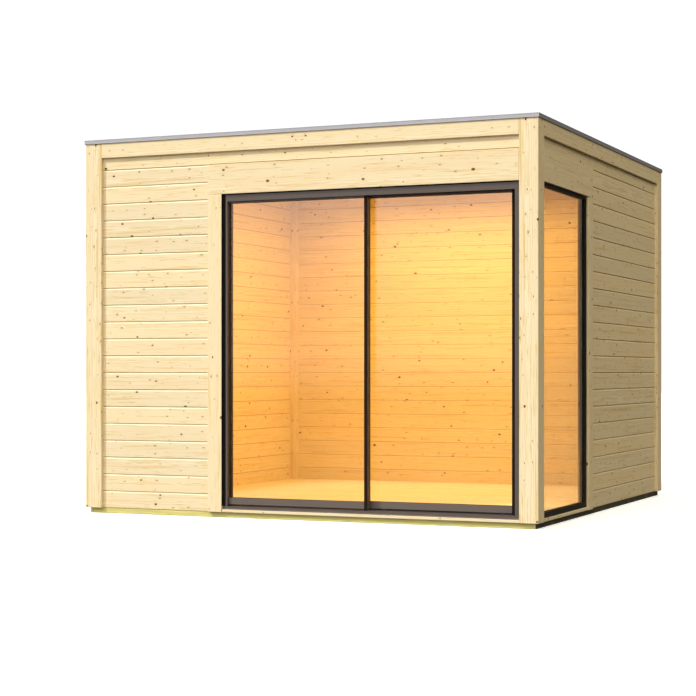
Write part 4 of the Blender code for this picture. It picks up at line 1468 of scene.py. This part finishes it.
    @staticmethod
    def threshold(sizes):
        """Lays a sloping metal threshold on the sill board, from its front edge to the frame's foot."""
        low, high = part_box("door_frame")
        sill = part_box("door_sill")
        rest = sill[1].z + REST_GAP
        front = sill[0].y + REST_GAP
        back = low.y - BUTT_GAP
        sheet = sizes.threshold_sheet
        profile = [
            (back, rest),
            (front, rest),
            (front, rest + sheet * NOSE_SHARE),
            (front + SMALL_BEVEL, rest + sheet),
            (back, rest + sheet + sizes.threshold_rise),
        ]
        shape = bmesh.new()
        bar(shape, profile, as_given, low.x + EDGE_GAP, high.x - EDGE_GAP)
        # Its coat is lighter than the frame's, as painted light on its lit top
        new_piece("door_threshold", shape, [coat("threshold_coat")], ROOT, "anthracite_aluminium")


class GARDEN_OT_window(bpy.types.Operator):
    """Coats the side window's frame in a darker copy of the coat as painted shade, and fits its pane and
    gaskets
    """

    bl_idname = "garden_room.window"
    bl_label = "Side window"

    def execute(self, context):
        dress(coat("window_coat"), "window_frame")
        reach = context.scene.glazing_sizes.window_spacer_reach
        glass = clear_glass("window_glass", WINDOW_GLASS_IOR)
        glazing("window", "window_glass", ROOT, 1, glass, reach)
        return {"FINISHED"}


class GARDEN_OT_stage(bpy.types.Operator):
    """Sets the camera, the soft lights and the pale floor"""

    bl_idname = "garden_room.stage"
    bl_label = "Studio"

    def execute(self, context):
        settings = context.scene.stage_settings
        self.camera(settings)
        self.lights(settings)
        self.surroundings(settings)
        self.floor(settings)
        context.scene.view_settings.view_transform = "Standard"
        context.scene.view_settings.look = "None"
        return {"FINISHED"}

    @staticmethod
    def camera(settings):
        """A level camera at the photograph's place, with a raised picture."""
        data = bpy.data.cameras.new("camera")
        data.sensor_fit = "HORIZONTAL"
        data.sensor_width = SENSOR_WIDTH
        data.lens = settings.lens
        data.shift_y = settings.rise
        data.clip_end = FAR_CLIP
        camera = add_object("camera", data)
        camera.location = settings.eye
        camera.rotation_euler = Euler((math.pi / 2, 0.0, settings.yaw))
        bpy.context.scene.camera = camera

    def lights(self, settings):
        """A key from the front left, wide fills, and two soft lamps in the room."""
        self.sun("key", settings.sun_strength, settings.sun_towards, settings.sun_size, KEY_COLOUR)
        for name, (towards, spread, tint) in FILLS.items():
            self.sun(name, getattr(settings, name), towards, math.radians(spread), tint)
        for name, (size, spread, tint) in ROOM_LAMPS.items():
            self.room_lamp(name, getattr(settings, name), size, math.radians(spread), tint)

    @staticmethod
    def room_lamp(name, power, size, spread, tint):
        """One soft light under the roof."""
        data = bpy.data.lights.new(name, "AREA")
        data.shape = "SQUARE"
        data.size = size
        data.spread = spread
        data.energy = power
        data.color = tint
        lamp = add_object(name, data)
        lamp.location = LAMP_PLACE
        lamp.visible_camera = False
        lamp.visible_glossy = False
        lamp.visible_transmission = False

    @staticmethod
    def sun(name, strength, towards, size, tint):
        """One distant light, which isn't mirrored."""
        data = bpy.data.lights.new(name, "SUN")
        data.energy = strength
        data.angle = size
        data.color = tint
        lamp = add_object(name, data)
        lamp.rotation_euler = Vector(towards).to_track_quat("Z", "Y").to_euler()
        lamp.visible_glossy = False
        lamp.visible_transmission = False

    @staticmethod
    def surroundings(settings):
        """White backdrop for the camera, and for reflections a bright front that falls off to the back."""
        world = bpy.data.worlds.new("studio")
        bpy.context.scene.world = world
        world.use_nodes = True
        nodes = Nodes(world.node_tree)
        towards = nodes.add("ShaderNodeTexCoord").outputs["Generated"]
        up = nodes.split(towards)[2]
        frontal = nodes.measure("DOT_PRODUCT", towards, MIRRORED_FROM)
        front = nodes.ramp(frontal, 0.15, 0.85, 0.05, settings.mirrored_front)
        rear = nodes.ramp(frontal, -0.9, -0.6, settings.mirrored_rear, 0.0)
        middle = nodes.ramp(up, -0.02, 0.012, 0.20, 0.64)
        above = nodes.plus(middle, nodes.ramp(up, 0.02, 0.10, 0.0, 0.5))
        level = nodes.plus(nodes.times(front, above), rear)
        tint = nodes.mix(nodes.ramp(up, -0.05, 0.35), (1.0, 0.93, 0.92), (0.93, 0.94, 1.0))
        mirrored = nodes.feed(world.node_tree.nodes["Background"], Color=tint, Strength=level)
        white = nodes.feed(nodes.add("ShaderNodeBackground"), Color=WHITE, Strength=BACKDROP)
        sky = nodes.times(nodes.ramp(up, -0.15, 0.25, 0.1, 1.0), settings.sky)
        diffuse = nodes.feed(nodes.add("ShaderNodeBackground"), Color=tint, Strength=sky)
        paths = nodes.add("ShaderNodeLightPath").outputs
        soft = nodes.either(paths["Is Diffuse Ray"], mirrored.outputs[0], diffuse.outputs[0])
        seen = nodes.either(paths["Is Camera Ray"], soft, white.outputs[0])
        nodes.put(world.node_tree.nodes["World Output"].inputs["Surface"], seen)

    @staticmethod
    def floor(settings):
        """A wide pale floor."""
        shape = bmesh.new()
        bmesh.ops.create_grid(shape, x_segments=8, y_segments=8, size=STUDIO_REACH)
        floor = add_object("studio_floor", mesh_from("studio_floor", shape))
        material, nodes, shader = new_material("studio_floor")
        cloud = nodes.noise(nodes.place(), (0.7, 0.7, 0.7), detail=3.0)
        base = tuple(settings.floor)
        nodes.feed(
            shader,
            Base_Color=nodes.mix(cloud, base, tuple(channel * FLOOR_CLOUD for channel in base)),
            Roughness=0.85,
            Specular_IOR_Level=0.1,
            Emission_Color=WHITE,
            Emission_Strength=settings.floor_glow,
        )
        floor.data.materials.append(material)
        floor.visible_glossy = False
        floor.visible_diffuse = False
        floor.visible_transmission = False


class GARDEN_PT_panel(bpy.types.Panel):
    """Lists the garden room's pieces, sizes and colours"""

    bl_idname = "GARDEN_PT_panel"
    bl_label = "Garden room"
    bl_space_type = "VIEW_3D"
    bl_region_type = "UI"
    bl_category = "Garden Room"

    def draw(self, context):
        layout = self.layout
        for operator in OPERATORS:
            layout.operator(operator.bl_idname)
        for name in GROUPS:
            settings = getattr(context.scene, name)
            box = layout.box()
            box.label(text=name.replace("_", " ").capitalize())
            for key in settings.__annotations__:
                box.prop(settings, key)


GROUPS = {
    "board_sizes": BoardSizes,
    "glazing_sizes": GlazingSizes,
    "roof_sizes": RoofSizes,
    "timber_colours": TimberColours,
    "metal_colours": MetalColours,
    "stage_settings": StageSettings,
}
OPERATORS = (
    GARDEN_OT_stage,
    GARDEN_OT_timbers,
    GARDEN_OT_wall_boards,
    GARDEN_OT_floor_boards,
    GARDEN_OT_roof_boards,
    GARDEN_OT_roof_sheet,
    GARDEN_OT_roof_edge,
    GARDEN_OT_door,
    GARDEN_OT_window,
)


def register():
    """Adds the classes and the settings to Blender."""
    for name, group in GROUPS.items():
        bpy.utils.register_class(group)
        setattr(bpy.types.Scene, name, PointerProperty(type=group))
    for operator in OPERATORS:
        bpy.utils.register_class(operator)
    bpy.utils.register_class(GARDEN_PT_panel)


def unregister():
    """Takes the classes and the settings out again."""
    bpy.utils.unregister_class(GARDEN_PT_panel)
    for operator in reversed(OPERATORS):
        bpy.utils.unregister_class(operator)
    for name, group in reversed(GROUPS.items()):
        delattr(bpy.types.Scene, name)
        bpy.utils.unregister_class(group)


def main():
    """Dresses the whole room."""
    register()
    bpy.ops.garden_room.stage()
    bpy.ops.garden_room.timbers()
    bpy.ops.garden_room.wall_boards()
    bpy.ops.garden_room.floor_boards()
    bpy.ops.garden_room.roof_boards()
    bpy.ops.garden_room.roof_sheet()
    bpy.ops.garden_room.roof_edge()
    bpy.ops.garden_room.door()
    bpy.ops.garden_room.window()


if __name__ == "__main__":
    main()
